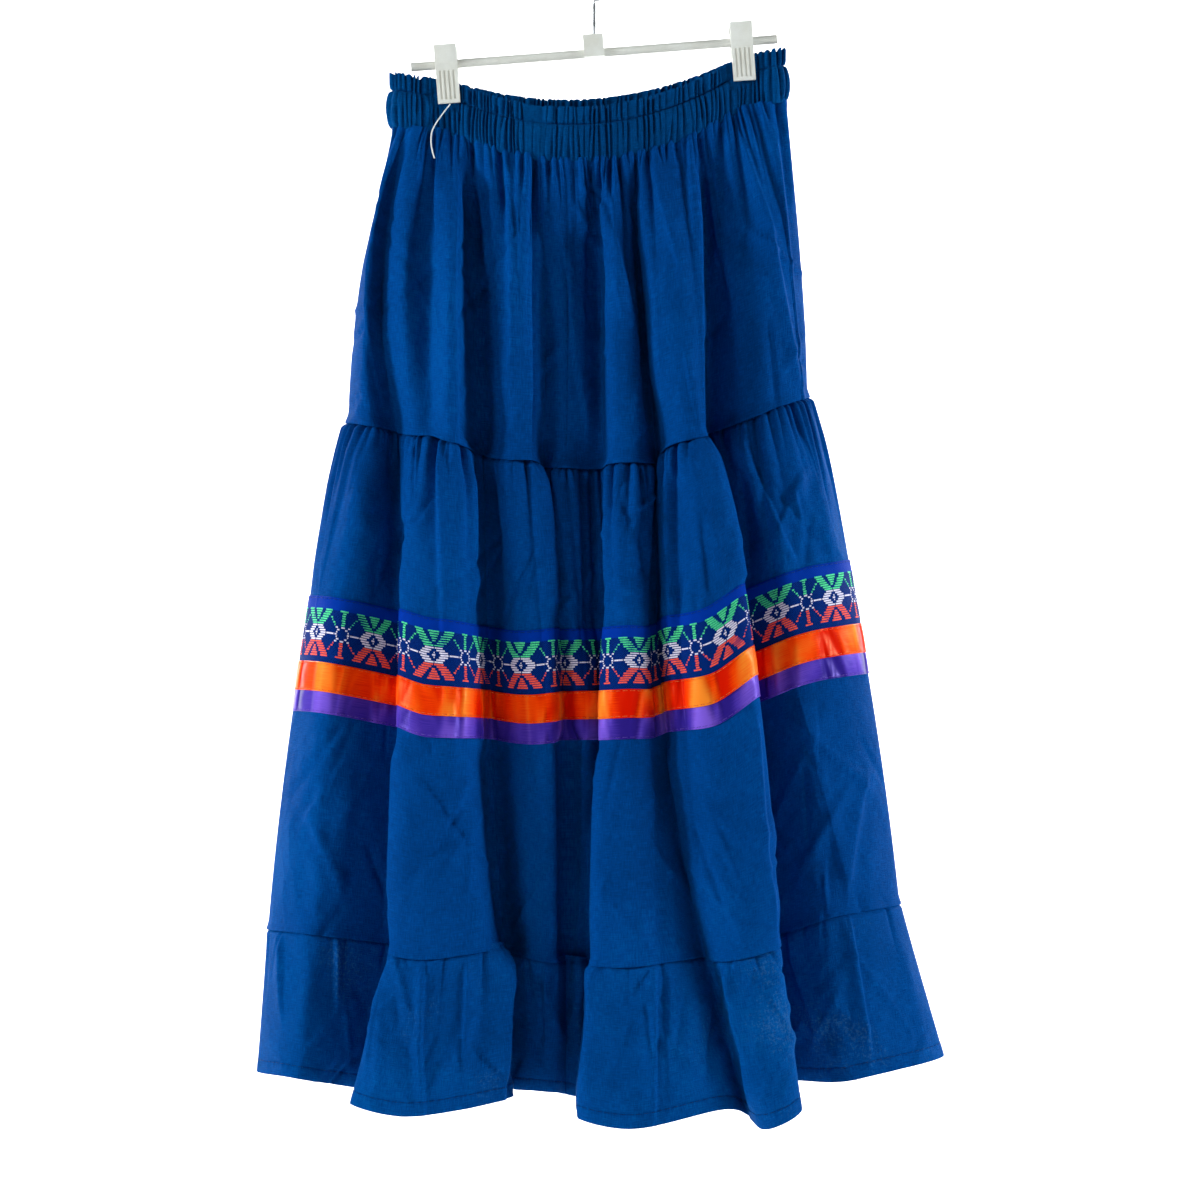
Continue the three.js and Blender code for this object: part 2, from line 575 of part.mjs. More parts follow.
// A jaw with upright grooves on its outer face, which stop short of its lower lip.
function jawGeometry() {
  let jaw = solidOf(extrudedAcross(JAW_OUTLINE, CLIP.width));
  const pitch = CLIP.width / (CLIP.grooves + 1);
  const lip = -CLIP.belowBar + 3.6;
  const face = GRIP + 3.1 - CLIP.grooveDepth;
  for (let i = 0; i < CLIP.grooves; i++) {
    const groove = extrudedAcross([[face, lip], [30, lip], [30, -7], [8.9 - CLIP.grooveDepth, -7]], CLIP.grooveWidth);
    groove.translate((i - (CLIP.grooves - 1) / 2) * pitch, 0, 0);
    jaw = jaw.subtract(solidOf(groove));
  }
  return geometryFrom(jaw);
}

// Spring: a strip bent under the bar, whose legs press the two jaws' tops apart.
function springGeometry() {
  const thick = 0.9;
  const inner = BAR_RADIUS + GAP;
  const outline = new THREE.Shape();
  outline.moveTo(8.9, 14);
  outline.lineTo(inner + thick, 0);
  outline.absarc(0, 0, inner + thick, 0, Math.PI, true);
  outline.lineTo(-8.9, 14);
  outline.lineTo(-8.9 + thick, 14.2);
  outline.lineTo(-inner, 0);
  outline.absarc(0, 0, inner, Math.PI, 0, false);
  outline.lineTo(8.9 - thick, 14.2);
  const points = outline.extractPoints(8).shape.map((point) => [point.x, point.y]);
  return extrudedAcross(points, CLIP.width / 2);
}

for (const [side, sign] of [["left", -1], ["right", 1]]) {
  const clip = new THREE.Group();
  clip.position.x = (sign * CLIP_SPACING) / 2;
  leaning.add(clip);
  addMesh(`clip_${side}_front_jaw`, jawGeometry(), CLIP_PLASTIC, clip);
  const back = addMesh(`clip_${side}_back_jaw`, jawGeometry(), CLIP_PLASTIC, clip);
  back.rotation.z = Math.PI;
  addMesh(`clip_${side}_spring`, springGeometry(), STEEL, clip);
}

// A loose thread end that hangs from under the left clip, down the front of the gathers.
const THREAD_DIAMETER = 1.2;
const THREAD_ROUTE = [
  [-129, -6.2, -136.9],
  [-130.6, -6.5, -139],
  [-132.6, -6.8, -141.6],
  [-134.9, -7, -144.6],
  [-137.2, -7.2, -147.8],
  [-139.5, -7.4, -151],
  [-141.6, -7.7, -154.2],
  [-143.4, -8.1, -157.4],
  [-144.8, -8.8, -160.6],
  [-145.6, -9.7, -164],
  [-145.9, -10.8, -167.8],
  [-145.9, -12, -172],
  [-145.4, -13.2, -176.4],
  [-144.3, -14.5, -181.4],
  [-142.6, -15.8, -187.2],
];
function threadGeometry() {
  const route = new THREE.CatmullRomCurve3(THREAD_ROUTE.map((point) => new THREE.Vector3(...point)));
  const section = new THREE.Shape().absarc(0, 0, THREAD_DIAMETER / 2, 0, Math.PI * 2);
  return new THREE.ExtrudeGeometry(section, { steps: 28, extrudePath: route, curveSegments: 4 });
}
addMesh("loose_thread", threadGeometry(), THREAD);

export default skirt;
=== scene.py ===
"""A three-tier gathered dance skirt on a plain clip hanger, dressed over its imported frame.

The tables give millimetres, as a maker's sheet would, and the meshes are in metres. +Z is up, +X is
right, -Y is the front, and the origin is the place inside the hook that rests on a rail.
"""

from __future__ import annotations

import logging
import math
import re
from collections.abc import Callable
from dataclasses import dataclass, field
from enum import Enum
from functools import cached_property
from typing import Any

import bmesh
import bpy
import numpy as np
from mathutils import Matrix, Vector

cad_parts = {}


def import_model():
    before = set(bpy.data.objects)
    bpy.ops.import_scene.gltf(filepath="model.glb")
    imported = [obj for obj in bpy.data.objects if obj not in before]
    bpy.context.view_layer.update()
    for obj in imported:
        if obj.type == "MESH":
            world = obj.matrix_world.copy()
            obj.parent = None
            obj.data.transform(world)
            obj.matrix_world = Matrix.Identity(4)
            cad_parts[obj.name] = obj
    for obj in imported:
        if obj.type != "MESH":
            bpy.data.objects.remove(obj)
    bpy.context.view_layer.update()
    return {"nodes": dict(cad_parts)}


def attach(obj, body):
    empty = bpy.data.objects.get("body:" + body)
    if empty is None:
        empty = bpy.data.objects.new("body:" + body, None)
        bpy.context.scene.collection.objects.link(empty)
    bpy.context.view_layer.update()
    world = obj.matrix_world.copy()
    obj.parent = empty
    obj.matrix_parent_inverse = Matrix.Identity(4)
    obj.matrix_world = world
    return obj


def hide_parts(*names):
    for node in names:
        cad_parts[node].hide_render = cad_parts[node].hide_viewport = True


log = logging.getLogger("dance_skirt")

MM = 0.001
# The camera's place in millimetres; creases are placed by how they are seen from it.
EYE = (5.4, -2200.0, -582.0)
# Distances down the cloth of waist, hip, first seam, trim, second seam and hem.
LEVELS_DOWN = (0.0, 100.0, 268.0, 468.0, 723.0, 860.0)
UPPER_END = 268.0
MIDDLE_END = 723.0
HEM = 860.0
# Distance under the first seam at which the middle tier swells most.
SWELL_PEAK = 55.0


class Side(Enum):
    """The two faces of the hanging skirt."""

    FRONT = -1
    BACK = 1


@dataclass(frozen=True)
class FoldLine:
    """A fold's line from waist to hem.

    x is its place across at waist, hip, first seam, trim, second seam and hem. out is how far it
    stands from the middle plane at the five lower levels. drop is how much lower than its own
    length of cloth it hangs at the first seam, trim, second seam and hem.
    """

    name: str
    x: tuple[float, ...]
    out: tuple[float, ...]
    drop: tuple[float, ...]


FRONT = (
    FoldLine("left_side", (-182, -203, -221, -262, -293, -303), (0, 0, 0, 0, 0), (0, 13, 5, -3)),
    FoldLine("a_crest", (-170, -196, -197, -228, -247, -261), (26, 38, 55, 60, 64), (6, 14, 1, -9)),
    FoldLine("a_hollow", (-162, -186, -175, -165, -170, -195), (14, 22, 32, 34, 32), (7, 22, 8, 4)),
    FoldLine("b_left_edge", (-153, -165, -159, -167, -175, -208), (32, 42, 80, 94, 106), (11, 21, 11, 6)),
    FoldLine("b_face", (-140, -144, -141, -146, -146, -164), (24, 48, 92, 108, 122), (11, 28, 13, 10)),
    FoldLine("b_crest", (-127, -125, -125, -121, -112, -115), (44, 58, 92, 106, 116), (19, 31, 10, 5)),
    FoldLine("b_right_edge", (-119, -118, -114, -107, -79, -71), (40, 50, 78, 86, 98), (18, 27, 2, -7)),
    FoldLine("c_left_hollow", (-112, -107, -98, -92, -76, -74), (16, 28, 42, 42, 38), (15, 19, -2, -14)),
    FoldLine("c_crest", (-85, -76, -76, -61, -54, -53), (36, 48, 66, 60, 52), (13, 16, -3, -22)),
    FoldLine("c_right_edge", (-58, -57, -55, -37, -32, -34), (36, 48, 70, 62, 54), (6, 7, -7, -28)),
    FoldLine("c_right_hollow", (-49, -44, -46, -28, -24, -25), (20, 30, 46, 42, 38), (7, 2, -10, -28)),
    FoldLine("centre_rise", (-26, -23, -25, -12, -13, -14), (32, 40, 55, 46, 41), (7, 0, -11, -28)),
    FoldLine("d_left_hollow", (-2, 3, 7, 12, 0, -3), (16, 28, 38, 34, 32), (7, -1, -10, -28)),
    FoldLine("d_left_edge", (11, 11, 15, 8, -3, -12), (34, 46, 72, 94, 110), (6, 2, -11, -18)),
    FoldLine("d_crest", (22, 25, 32, 30, 31, 31), (38, 54, 86, 110, 124), (8, 4, -9, -9)),
    FoldLine("d_slope", (30, 33, 47, 47, 80, 116), (32, 44, 76, 98, 112), (9, 5, -11, -16)),
    FoldLine("d_notch", (38, 43, 56, 59, 96, 133), (15, 28, 55, 80, 94), (8, 1, -10, -6)),
    FoldLine("e_left_edge", (47, 56, 67, 72, 108, 143), (36, 46, 79, 98, 116), (0, 2, -4, 6)),
    FoldLine("e_crest", (67, 76, 83, 102, 131, 157), (42, 58, 92, 112, 126), (4, 6, 0, 8)),
    FoldLine("e_right_edge", (88, 91, 95, 134, 158, 177), (38, 54, 86, 104, 114), (8, -6, 2, 7)),
    FoldLine("f_hollow", (97, 102, 100, 131, 155, 171), (14, 24, 34, 34, 32), (5, 0, 0, -8)),
    FoldLine("f_crest", (127, 141, 147, 175, 201, 222), (28, 34, 50, 52, 58), (8, 2, 2, 8)),
    FoldLine("f_crease", (154, 170, 177, 217, 243, 271), (18, 24, 32, 38, 44), (1, 0, 2, 8)),
)
BACK = (
    FoldLine("right_side", (171, 183, 192, 237, 275, 315), (0, 0, 0, 0, 0), (-3, 1, 5, 11)),
    FoldLine("g_crest", (152, 168, 176, 214, 240, 268), (24, 36, 52, 58, 66), (0, 2, 4, 8)),
    FoldLine("g_hollow", (130, 138, 142, 172, 190, 206), (14, 24, 34, 36, 38), (3, 2, 0, 0)),
    FoldLine("k_right_edge", (115, 125, 130, 168, 184, 206), (32, 44, 76, 90, 104), (4, 3, 0, 2)),
    FoldLine("k_crest", (87, 96, 101, 128, 145, 160), (42, 56, 90, 110, 124), (6, 4, 0, 4)),
    FoldLine("k_left_edge", (63, 66, 70, 80, 88, 92), (36, 50, 80, 96, 110), (6, 4, -4, -4)),
    FoldLine("m_hollow", (50, 50, 50, 66, 74, 78), (16, 28, 40, 38, 38), (6, 3, -8, -16)),
    FoldLine("m_right_crest", (30, 28, 27, 34, 38, 42), (36, 50, 74, 84, 92), (6, 4, -6, -12)),
    FoldLine("m_left_crest", (-4, -6, -7, -8, -8, -8), (36, 50, 78, 90, 102), (6, 4, -6, -12)),
    FoldLine("n_hollow", (-25, -27, -29, -33, -36, -38), (16, 26, 38, 36, 34), (7, 4, -8, -16)),
    FoldLine("n_right_crest", (-46, -50, -52, -60, -66, -68), (38, 52, 86, 104, 118), (8, 8, -4, -4)),
    FoldLine("n_left_crest", (-84, -90, -96, -116, -128, -140), (40, 54, 88, 108, 124), (10, 14, 2, 2)),
    FoldLine("p_hollow", (-104, -114, -120, -138, -148, -156), (16, 26, 36, 36, 36), (10, 16, 2, -4)),
    FoldLine("p_right_crest", (-128, -138, -146, -168, -182, -194), (34, 46, 70, 82, 92), (8, 16, 4, 0)),
    FoldLine("p_left_crest", (-153, -168, -178, -212, -232, -246), (28, 40, 62, 72, 80), (5, 14, 4, -2)),
)
FOLDS = FRONT + BACK
ROUND = len(FOLDS)


def fold_place(name: str) -> float:
    """Place of a named fold line round the skirt, counted in fold lines from the left side."""
    return float([line.name for line in FOLDS].index(name))


def closed_curve(knots: np.ndarray, at: np.ndarray) -> np.ndarray:
    """Runs a smooth closed curve through rows of knots.

    Args:
        knots: Points of each row, as rows by knots by three.
        at: Places along the curve, counted in knots.

    Returns:
        The curve's points, as rows by places by three.
    """
    count = knots.shape[1]
    first = np.floor(at).astype(int)
    w = (at - first)[None, :, None]
    p0, p1, p2, p3 = (knots[:, (first + i) % count] for i in (-1, 0, 1, 2))

    def gap(a: np.ndarray, b: np.ndarray) -> np.ndarray:
        """Square root of the distance between two sets of points."""
        return np.maximum(((b - a) ** 2).sum(2, keepdims=True), 1e-8) ** 0.25

    d0, d1, d2 = gap(p0, p1), gap(p1, p2), gap(p2, p3)
    t1 = ((p1 - p0) / d0 - (p2 - p0) / (d0 + d1) + (p2 - p1) / d1) * d1
    t2 = ((p2 - p1) / d1 - (p3 - p1) / (d1 + d2) + (p3 - p2) / d2) * d1
    c2 = -3 * p1 + 3 * p2 - 2 * t1 - t2
    c3 = 2 * p1 - 2 * p2 + t1 + t2
    return p1 + t1 * w + c2 * w**2 + c3 * w**3


def eased(t: np.ndarray) -> np.ndarray:
    """Smooth step from 0 to 1 of a share that is cut off at both ends."""
    t = np.clip(t, 0.0, 1.0)
    return t * t * (3 - 2 * t)


def bell(t: np.ndarray | float) -> np.ndarray | float:
    """Bell curve, 1 in its middle."""
    return np.exp(-(t**2))


def swollen(below: np.ndarray | float, most: float) -> np.ndarray | float:
    """How far cloth swells out at distances below the seam that it is gathered into."""
    return most * below / SWELL_PEAK * np.exp(1 - below / SWELL_PEAK)


@dataclass(frozen=True)
class HangingForm:
    """The skirt's middle layer of cloth as it hangs, worked out from its fold lines.

    The band is the waistband. Lengths are millimetres. sag, how far its edge hangs between the
    clips, and bulge, how far it stands out there, are for front and back. ear_lift, how far its
    ends rise past the clips, is for left and right.
    """

    bar_drop: float = 90.0
    bar_tilt: float = math.radians(4.4)
    clip_spacing: float = 266.0
    clip_width: float = 20.0
    band_left: float = -182.0
    band_right: float = 171.0
    band_below_bar: float = 13.0
    band_height: float = 49.0
    band_pinch: float = 3.2
    band_ear: float = 3.4
    band_end_round: float = 10.0
    sag: tuple[float, float] = (39.0, 34.0)
    bulge: tuple[float, float] = (14.0, 11.0)
    ear_lift: tuple[float, float] = (9.0, 4.0)

    @property
    def clip_x(self) -> float:
        """Distance of each clip's middle from the hook's plane."""
        return self.clip_spacing / 2 * math.cos(self.bar_tilt)

    def sharp_edge(self, x: np.ndarray, front: np.ndarray) -> np.ndarray:
        """Height of the waistband's lower edge before the clips' width softens it.

        Args:
            x: Places across.
            front: True where the front is meant.

        Returns:
            Heights in millimetres.
        """
        bottom = self.bar_drop + self.band_below_bar + self.band_height
        lean = x * math.tan(self.bar_tilt) - bottom
        t = (x + self.clip_x) / (2 * self.clip_x)
        between = lean - np.where(front, self.sag[0], self.sag[1]) * 4 * t * (1 - t)
        end = np.where(x < 0, -self.band_left, self.band_right)
        lift = np.where(x < 0, self.ear_lift[0], self.ear_lift[1])
        past = np.clip((np.abs(x) - self.clip_x) / (end - self.clip_x), 0, 1)
        return np.where(np.abs(x) <= self.clip_x, between, lean + lift * past**2)

    def band_edge(self, x: np.ndarray, front: np.ndarray) -> np.ndarray:
        """Height of the waistband's lower edge at places across."""
        return sum(self.sharp_edge(x + step, front) for step in (-10, -5, 0, 5, 10)) / 5

    def band_out(self, x: np.ndarray, front: np.ndarray) -> np.ndarray:
        """How far the waistband's middle layer stands from the middle plane.

        Args:
            x: Places across.
            front: True where the front is meant.

        Returns:
            Distances in millimetres, all positive.
        """
        flat = self.clip_width / 2 + 5.5
        past = np.abs(x) - self.clip_x
        t = (x + self.clip_x - flat) / (2 * (self.clip_x - flat))
        between = np.where(front, self.bulge[0], self.bulge[1]) * 4 * np.maximum(0, t * (1 - t))
        ear = self.band_ear * np.clip((past - flat) / 12, 0, 1)
        to_end = np.maximum(0, np.minimum(x - self.band_left, self.band_right - x))
        inside = np.minimum(1, to_end / self.band_end_round)
        rounded = np.sqrt(1 - (1 - inside) ** 2)
        return (self.band_pinch + np.where(past < flat, between, ear)) * rounded

    @cached_property
    def line_levels(self) -> np.ndarray:
        """Each fold line's place across, place in depth and fall, at the six levels."""
        found = []
        for place, line in enumerate(FOLDS):
            front = place < len(FRONT)
            x = np.array(line.x)
            out = np.array([float(self.band_out(x[:1], np.array([front]))[0]), *line.out])
            drop = np.array([0.0, line.drop[0] / 2, *line.drop])
            cloth = np.diff(LEVELS_DOWN)
            fall = np.sqrt(cloth**2 - np.diff(x) ** 2 - np.diff(out) ** 2)
            fallen = np.concatenate([[0.0], np.cumsum(fall)]) + drop
            sign = Side.FRONT.value if front else Side.BACK.value
            found.append(np.stack([x, sign * out, fallen], 1))
        return np.array(found)

    def surface(self, levels: tuple[int, ...], u: np.ndarray, down: np.ndarray) -> np.ndarray:
        """Middle layer of a tier.

        Args:
            levels: The levels that the tier's curves run through.
            u: Places round the skirt, in fold lines.
            down: Distances down the cloth from the waistband.

        Returns:
            Points in millimetres, as rows by columns by three.
        """
        places = [LEVELS_DOWN[i] for i in levels]
        weights = []
        for i, place in enumerate(places):
            others = [p for k, p in enumerate(places) if k != i]
            weights.append(np.prod([(down - p) / (place - p) for p in others], axis=0))
        knots = np.einsum("nr,knc->rkc", np.array(weights), self.line_levels[:, list(levels)])
        points = closed_curve(knots, u)
        waist = closed_curve(self.line_levels[None, :, 0], u)[0, :, 0]
        top = self.band_edge(waist, (u % ROUND) < len(FRONT))
        return np.stack([points[..., 0], points[..., 1], top[None] - points[..., 2]], 2)


def seen_from_front(points: np.ndarray) -> tuple[np.ndarray, np.ndarray]:
    """Where points show on the middle plane, across and up, to someone who faces the skirt."""
    share = -EYE[1] / (points[..., 1] - EYE[1])
    return EYE[0] + (points[..., 0] - EYE[0]) * share, EYE[2] + (points[..., 2] - EYE[2]) * share


def puffed(s: np.ndarray, valleys: np.ndarray, depths: np.ndarray, girth: float,
           roundness: float, widest: float) -> np.ndarray:
    """How deep the cloth lies under the tops of the puffs between sharp valleys.

    Args:
        s: Places round a closed edge.
        valleys: Places of the valleys, rising from 0.
        depths: Depth of each valley.
        girth: Length once round the edge.
        roundness: Below 1 for full puffs with sharp valleys, above 1 for soft dents.
        widest: Greatest width of a valley with both its sides.

    Returns:
        Depths in millimetres, one for each place.
    """
    placed_at = np.concatenate([[valleys[-1] - girth], valleys, [valleys[0] + girth]])
    deep = np.concatenate([[depths[-1]], depths, [depths[0]]])
    turned = (s - placed_at[0]) % girth + placed_at[0]
    first = np.clip(np.searchsorted(placed_at, turned, side="right") - 1, 0, len(valleys))
    gap = np.maximum(placed_at[first + 1] - placed_at[first], 1e-3)
    wide = np.minimum(gap, widest)
    total = np.zeros(len(s))
    before, after = turned - placed_at[first], placed_at[first + 1] - turned
    for place, apart in ((first, before), (first + 1, after)):
        share = np.clip(apart / wide, 0.0, 0.5)
        total += deep[place] * (1 - np.sin(math.pi * share) ** roundness)
    return total


@dataclass(frozen=True)
class Gathers:
    """Uneven puffs drawn up at a sewn edge, whose valleys fade down the cloth at their own pace.

    pitch is how far apart the valleys are, depth how deep, and reach how far down they run. lean
    is how far they slant, as a share of their length. start is where the sewn edge is, down the
    cloth, and widest is a valley's greatest width there.
    """

    pitch: float
    depth: float
    reach: float
    seed: int
    lean: float = 0.03
    start: float = 0.0
    widest: float = 14.0

    def relief(self, s: np.ndarray, down: np.ndarray, girth: float) -> np.ndarray:
        """How far the gathers push the cloth out.

        Args:
            s: Places round the gathered edge.
            down: Distances down the cloth from the waistband.
            girth: Length once round the gathered edge.

        Returns:
            Millimetres outwards, as rows by columns.
        """
        rng = np.random.default_rng(self.seed)
        count = int(girth / self.pitch)
        steps = rng.lognormal(0.0, 0.38, count)
        centres = np.cumsum(steps) / steps.sum() * girth
        depths = self.depth * rng.uniform(0.3, 1.25, count)
        reaches = self.reach * np.clip(rng.lognormal(0.0, 0.6, count), 0.3, 3.2)
        leans = rng.normal(0.0, self.lean, count)
        total = np.zeros((len(down), len(s)))
        for row, below in enumerate(np.maximum(down - self.start, 0.0)):
            valleys = np.maximum.accumulate(centres + leans * below)
            depth = depths * np.exp(-((below / reaches) ** 1.4)) * (0.7 + 0.3 * eased(below / 6))
            soft = 0.85 + 0.6 * float(eased(below / 90))
            lift = 0.35 * self.depth * math.exp(-below / self.reach)
            total[row] = lift - puffed(s, valleys, depth, girth, soft, self.widest * (1 + below / 60))
        return total


@dataclass(frozen=True)
class Crease:
    """A soft fold seen from one face: the places it passes, its height and its two half-widths."""

    path: tuple[tuple[float, float], ...]
    height: float
    left: float
    right: float
    side: Side = Side.FRONT

    def relief(self, across: np.ndarray, up: np.ndarray) -> np.ndarray:
        """Millimetres outwards at places across and up.

        Args:
            across: Places across, as seen from the front.
            up: Heights, as seen from the front.

        Returns:
            Millimetres outwards, one for each place.
        """
        order = sorted(self.path, key=lambda place: place[1])
        xs = [place[0] for place in order]
        zs = [place[1] for place in order]
        apart = across - np.interp(up, zs, xs)
        wide = np.where(apart < 0, self.left, self.right)
        fade = min(26.0, (zs[-1] - zs[0]) * 0.35)
        ends = eased((up - zs[0] + fade) / (2 * fade)) * eased((zs[-1] + fade / 3 - up) / fade)
        return self.height * bell(apart / wide) * ends


def creases(*rows: tuple[float, ...]) -> tuple[Crease, ...]:
    """Creases of the front from rows of numbers.

    Args:
        rows: Across and up of each place that a crease passes, then its height and half-widths.

    Returns:
        The creases.
    """
    return tuple(Crease(tuple(zip(row[:-3:2], row[1:-3:2])), *row[-3:]) for row in rows)


# Folds of each tier as the photograph shows them.
UPPER_CREASES = creases(
    (-163.8, -186.0, -192.6, -402.0, 4.2, 10, 12), (-170.1, -168.0, -183.6, -222.0, -4.2, 5, 5),
    (-121.5, -175.2, -106.2, -252.6, -3.4, 4, 6), (-107.1, -177.0, -96.3, -285.0, 3.8, 4, 6),
    (-106.2, -182.4, -93.6, -242.7, -2.9, 3, 4), (-87.3, -182.4, -80.1, -231.9, -2.9, 3, 4),
    (-73.8, -249.0, -71.1, -402.0, 2.5, 12, 12), (-41.4, -190.5, -41.4, -420.0, 3.8, 10, 8),
    (-25.2, -195.0, -25.2, -438.0, -3.4, 4, 4), (-8.1, -204.0, -8.1, -438.0, 3.2, 8, 8),
    (3.6, -193.2, 3.6, -261.6, 5.4, -339.0, -4.6, 3, 4), (2.7, -197.7, 27.0, -272.4, -2.5, 2.5, 4),
    (18.9, -199.5, 21.6, -438.0, 3.8, 8, 8), (34.2, -210.3, 45.0, -339.0, 43.2, -408.3, -3.5, 4, 5),
    (-17.1, -249.0, -19.8, -451.5, -6, 20, 24), (49.5, -185.1, 77.4, -281.4, 3.4, 2.5, 8),
    (50.4, -184.2, 66.6, -429.0, 3.4, 10, 16), (125.1, -144.6, 154.8, -231.9, 184.5, -391.2, 4.0, 7, 2),
    (162.9, -159.0, 185.4, -397.5, 3.4, 8, 2.5), (158.4, -222.0, 162.9, -393.0, 2.1, 12, 12),
    (90.0, -195.0, 92.7, -242.7, 96.3, -438.0, 5.5, 22, 2.0), (102.6, -249.0, 105.3, -438.0, -3.0, 3, 6),
    (-124.2, -190.5, -126.0, -312.0, -124.2, -438.0, 5.0, 26, 2.2),
    (-56.7, -177.0, -58.5, -312.0, -57.6, -456.0, 5.0, 20, 1.2),
    (-52.2, -177.0, -54.9, -294.0, -54.9, -447.0, -4.6, 1.5, 2.2),
    (-92.7, -217.5, -85.5, -289.5, -80.1, -406.5, 4.6, 1.8, 20),
    (-28.8, -253.5, -23.4, -303.0, -15.3, -366.0, -5.4, -429.0, 4.4, 1.7, 12),
    (13.5, -208.5, 23.4, -276.0, 36.9, -348.0, 44.1, -429.0, 4.4, 12, 1.8),
    (36.9, -213.0, 47.7, -280.5, 59.4, -397.5, 4.8, 1.7, 20),
    (100.8, -204.0, 111.6, -258.0, 125.1, -312.0, 4.6, 1.8, 9),
    (-110.7, -204.0, -108.0, -312.0, -104.4, -442.5, -5, 8, 15),
    (-199.8, -267.0, -208.8, -420.0, 2.1, 8, 12), (-147.6, -276.0, -145.8, -429.0, -1.9, 10, 10),
)
MIDDLE_CREASES = creases(
    (-208.8, -438.0, -210.6, -582.0, 3.0, 12, 12), (-179.1, -447.0, -179.1, -573.0, -4.5, 9, 9),
    (-138.6, -447.0, -138.6, -600.0, 3.0, 14, 14), (-125.1, -546.0, -102.6, -582.0, 1.6, 3, 3),
    (-47.7, -465.0, -39.6, -582.0, 5, 24, 2.5), (-28.8, -469.5, -28.8, -600.0, 3.0, 9, 9),
    (-1.8, -465.0, -3.6, -618.0, -8, 12, 12), (-93.6, -465.0, -91.8, -618.0, -6, 7, 9),
    (30.6, -465.0, 34.2, -600.0, 3.0, 12, 12), (56.7, -460.5, 56.7, -600.0, -3.5, 5, 5),
    (86.4, -451.5, 113.4, -546.0, 122.4, -582.0, 3.2, 10, 4),
    (135.9, -438.0, 170.1, -528.0, 183.6, -555.0, 5, 20, 2.2),
    (98.1, -438.0, 129.6, -546.0, 135.9, -585.6, 5.0, 20, 2.0),
    (135.9, -465.0, 142.2, -582.0, -5.0, 4, 8), (-115.2, -465.0, -111.6, -582.0, 4.2, 18, 1.8),
    (145.8, -690.0, 154.8, -810.6, 163.8, -895.2, 5, 22, 2.0),
    (-176.4, -712.5, -180.9, -781.8, -186.3, -873.6, 4.5, 1.8, 20),
    (8.1, -712.5, -1.8, -810.6, -2.7, -906.9, 5, 1.8, 22), (176.4, -483.0, 185.4, -510.0, 2.4, 3, 1.5),
    (185.4, -438.0, 216.9, -546.0, 2.4, 8, 4), (-237.6, -465.0, -244.8, -573.0, 2.0, 10, 10),
    (-152.1, -712.5, -156.6, -852.0, 2.4, 16, 16), (-95.4, -712.5, -80.1, -897.0, -6, 12, 12),
    (-39.6, -712.5, -37.8, -892.5, 3.0, 9, 9), (-18.0, -703.5, -16.2, -910.5, -11, 15, 13),
    (60.3, -712.5, 61.2, -906.0, -3.2, 8, 8),
    (68.4, -708.9, 76.5, -786.3, 100.8, -882.6, 105.3, -902.4, 3.2, 2.5, 14),
    (185.4, -672.0, 228.6, -843.0, 3.0, 3, 10), (246.6, -726.0, 226.8, -843.0, 2.4, 8, 3),
    (-111.6, -739.5, -152.1, -820.5, 2.4, 4, 4), (-219.6, -735.0, -233.1, -870.0, 2.2, 10, 6),
    (-255.6, -744.0, -264.6, -870.0, -1.8, 8, 8), (36.9, -726.0, 32.4, -897.0, 1.8, 14, 10),
    (135.9, -762.0, 185.4, -838.5, 1.8, 3, 6), (203.4, -690.0, 149.4, -807.0, 1.6, 4, 6),
    (185.4, -465.0, 162.9, -528.0, 3.2, 2, 8), (198.9, -510.0, 239.4, -618.0, 3.0, 3, 9),
    (176.4, -690.0, 248.4, -753.0, 2.6, 3, 8), (230.4, -744.0, 185.4, -825.0, 2.8, 3, 7),
    (158.4, -789.0, 212.4, -856.5, 2.4, 3, 8), (5.4, -546.0, -30.6, -600.0, 2.2, 3, 6),
    (-264.6, -762.0, -224.1, -852.0, 2.2, 3, 8), (-228.6, -726.0, -264.6, -789.0, 2.0, 3, 7),
    (23.4, -789.0, 59.4, -753.0, 2.0, 3, 6), (14.4, -852.0, 50.4, -897.0, 2.0, 3, 6),
    (86.4, -816.0, 131.4, -879.0, 2.6, 3, 7), (95.4, -762.0, 149.4, -816.0, 2.2, 3, 7),
)
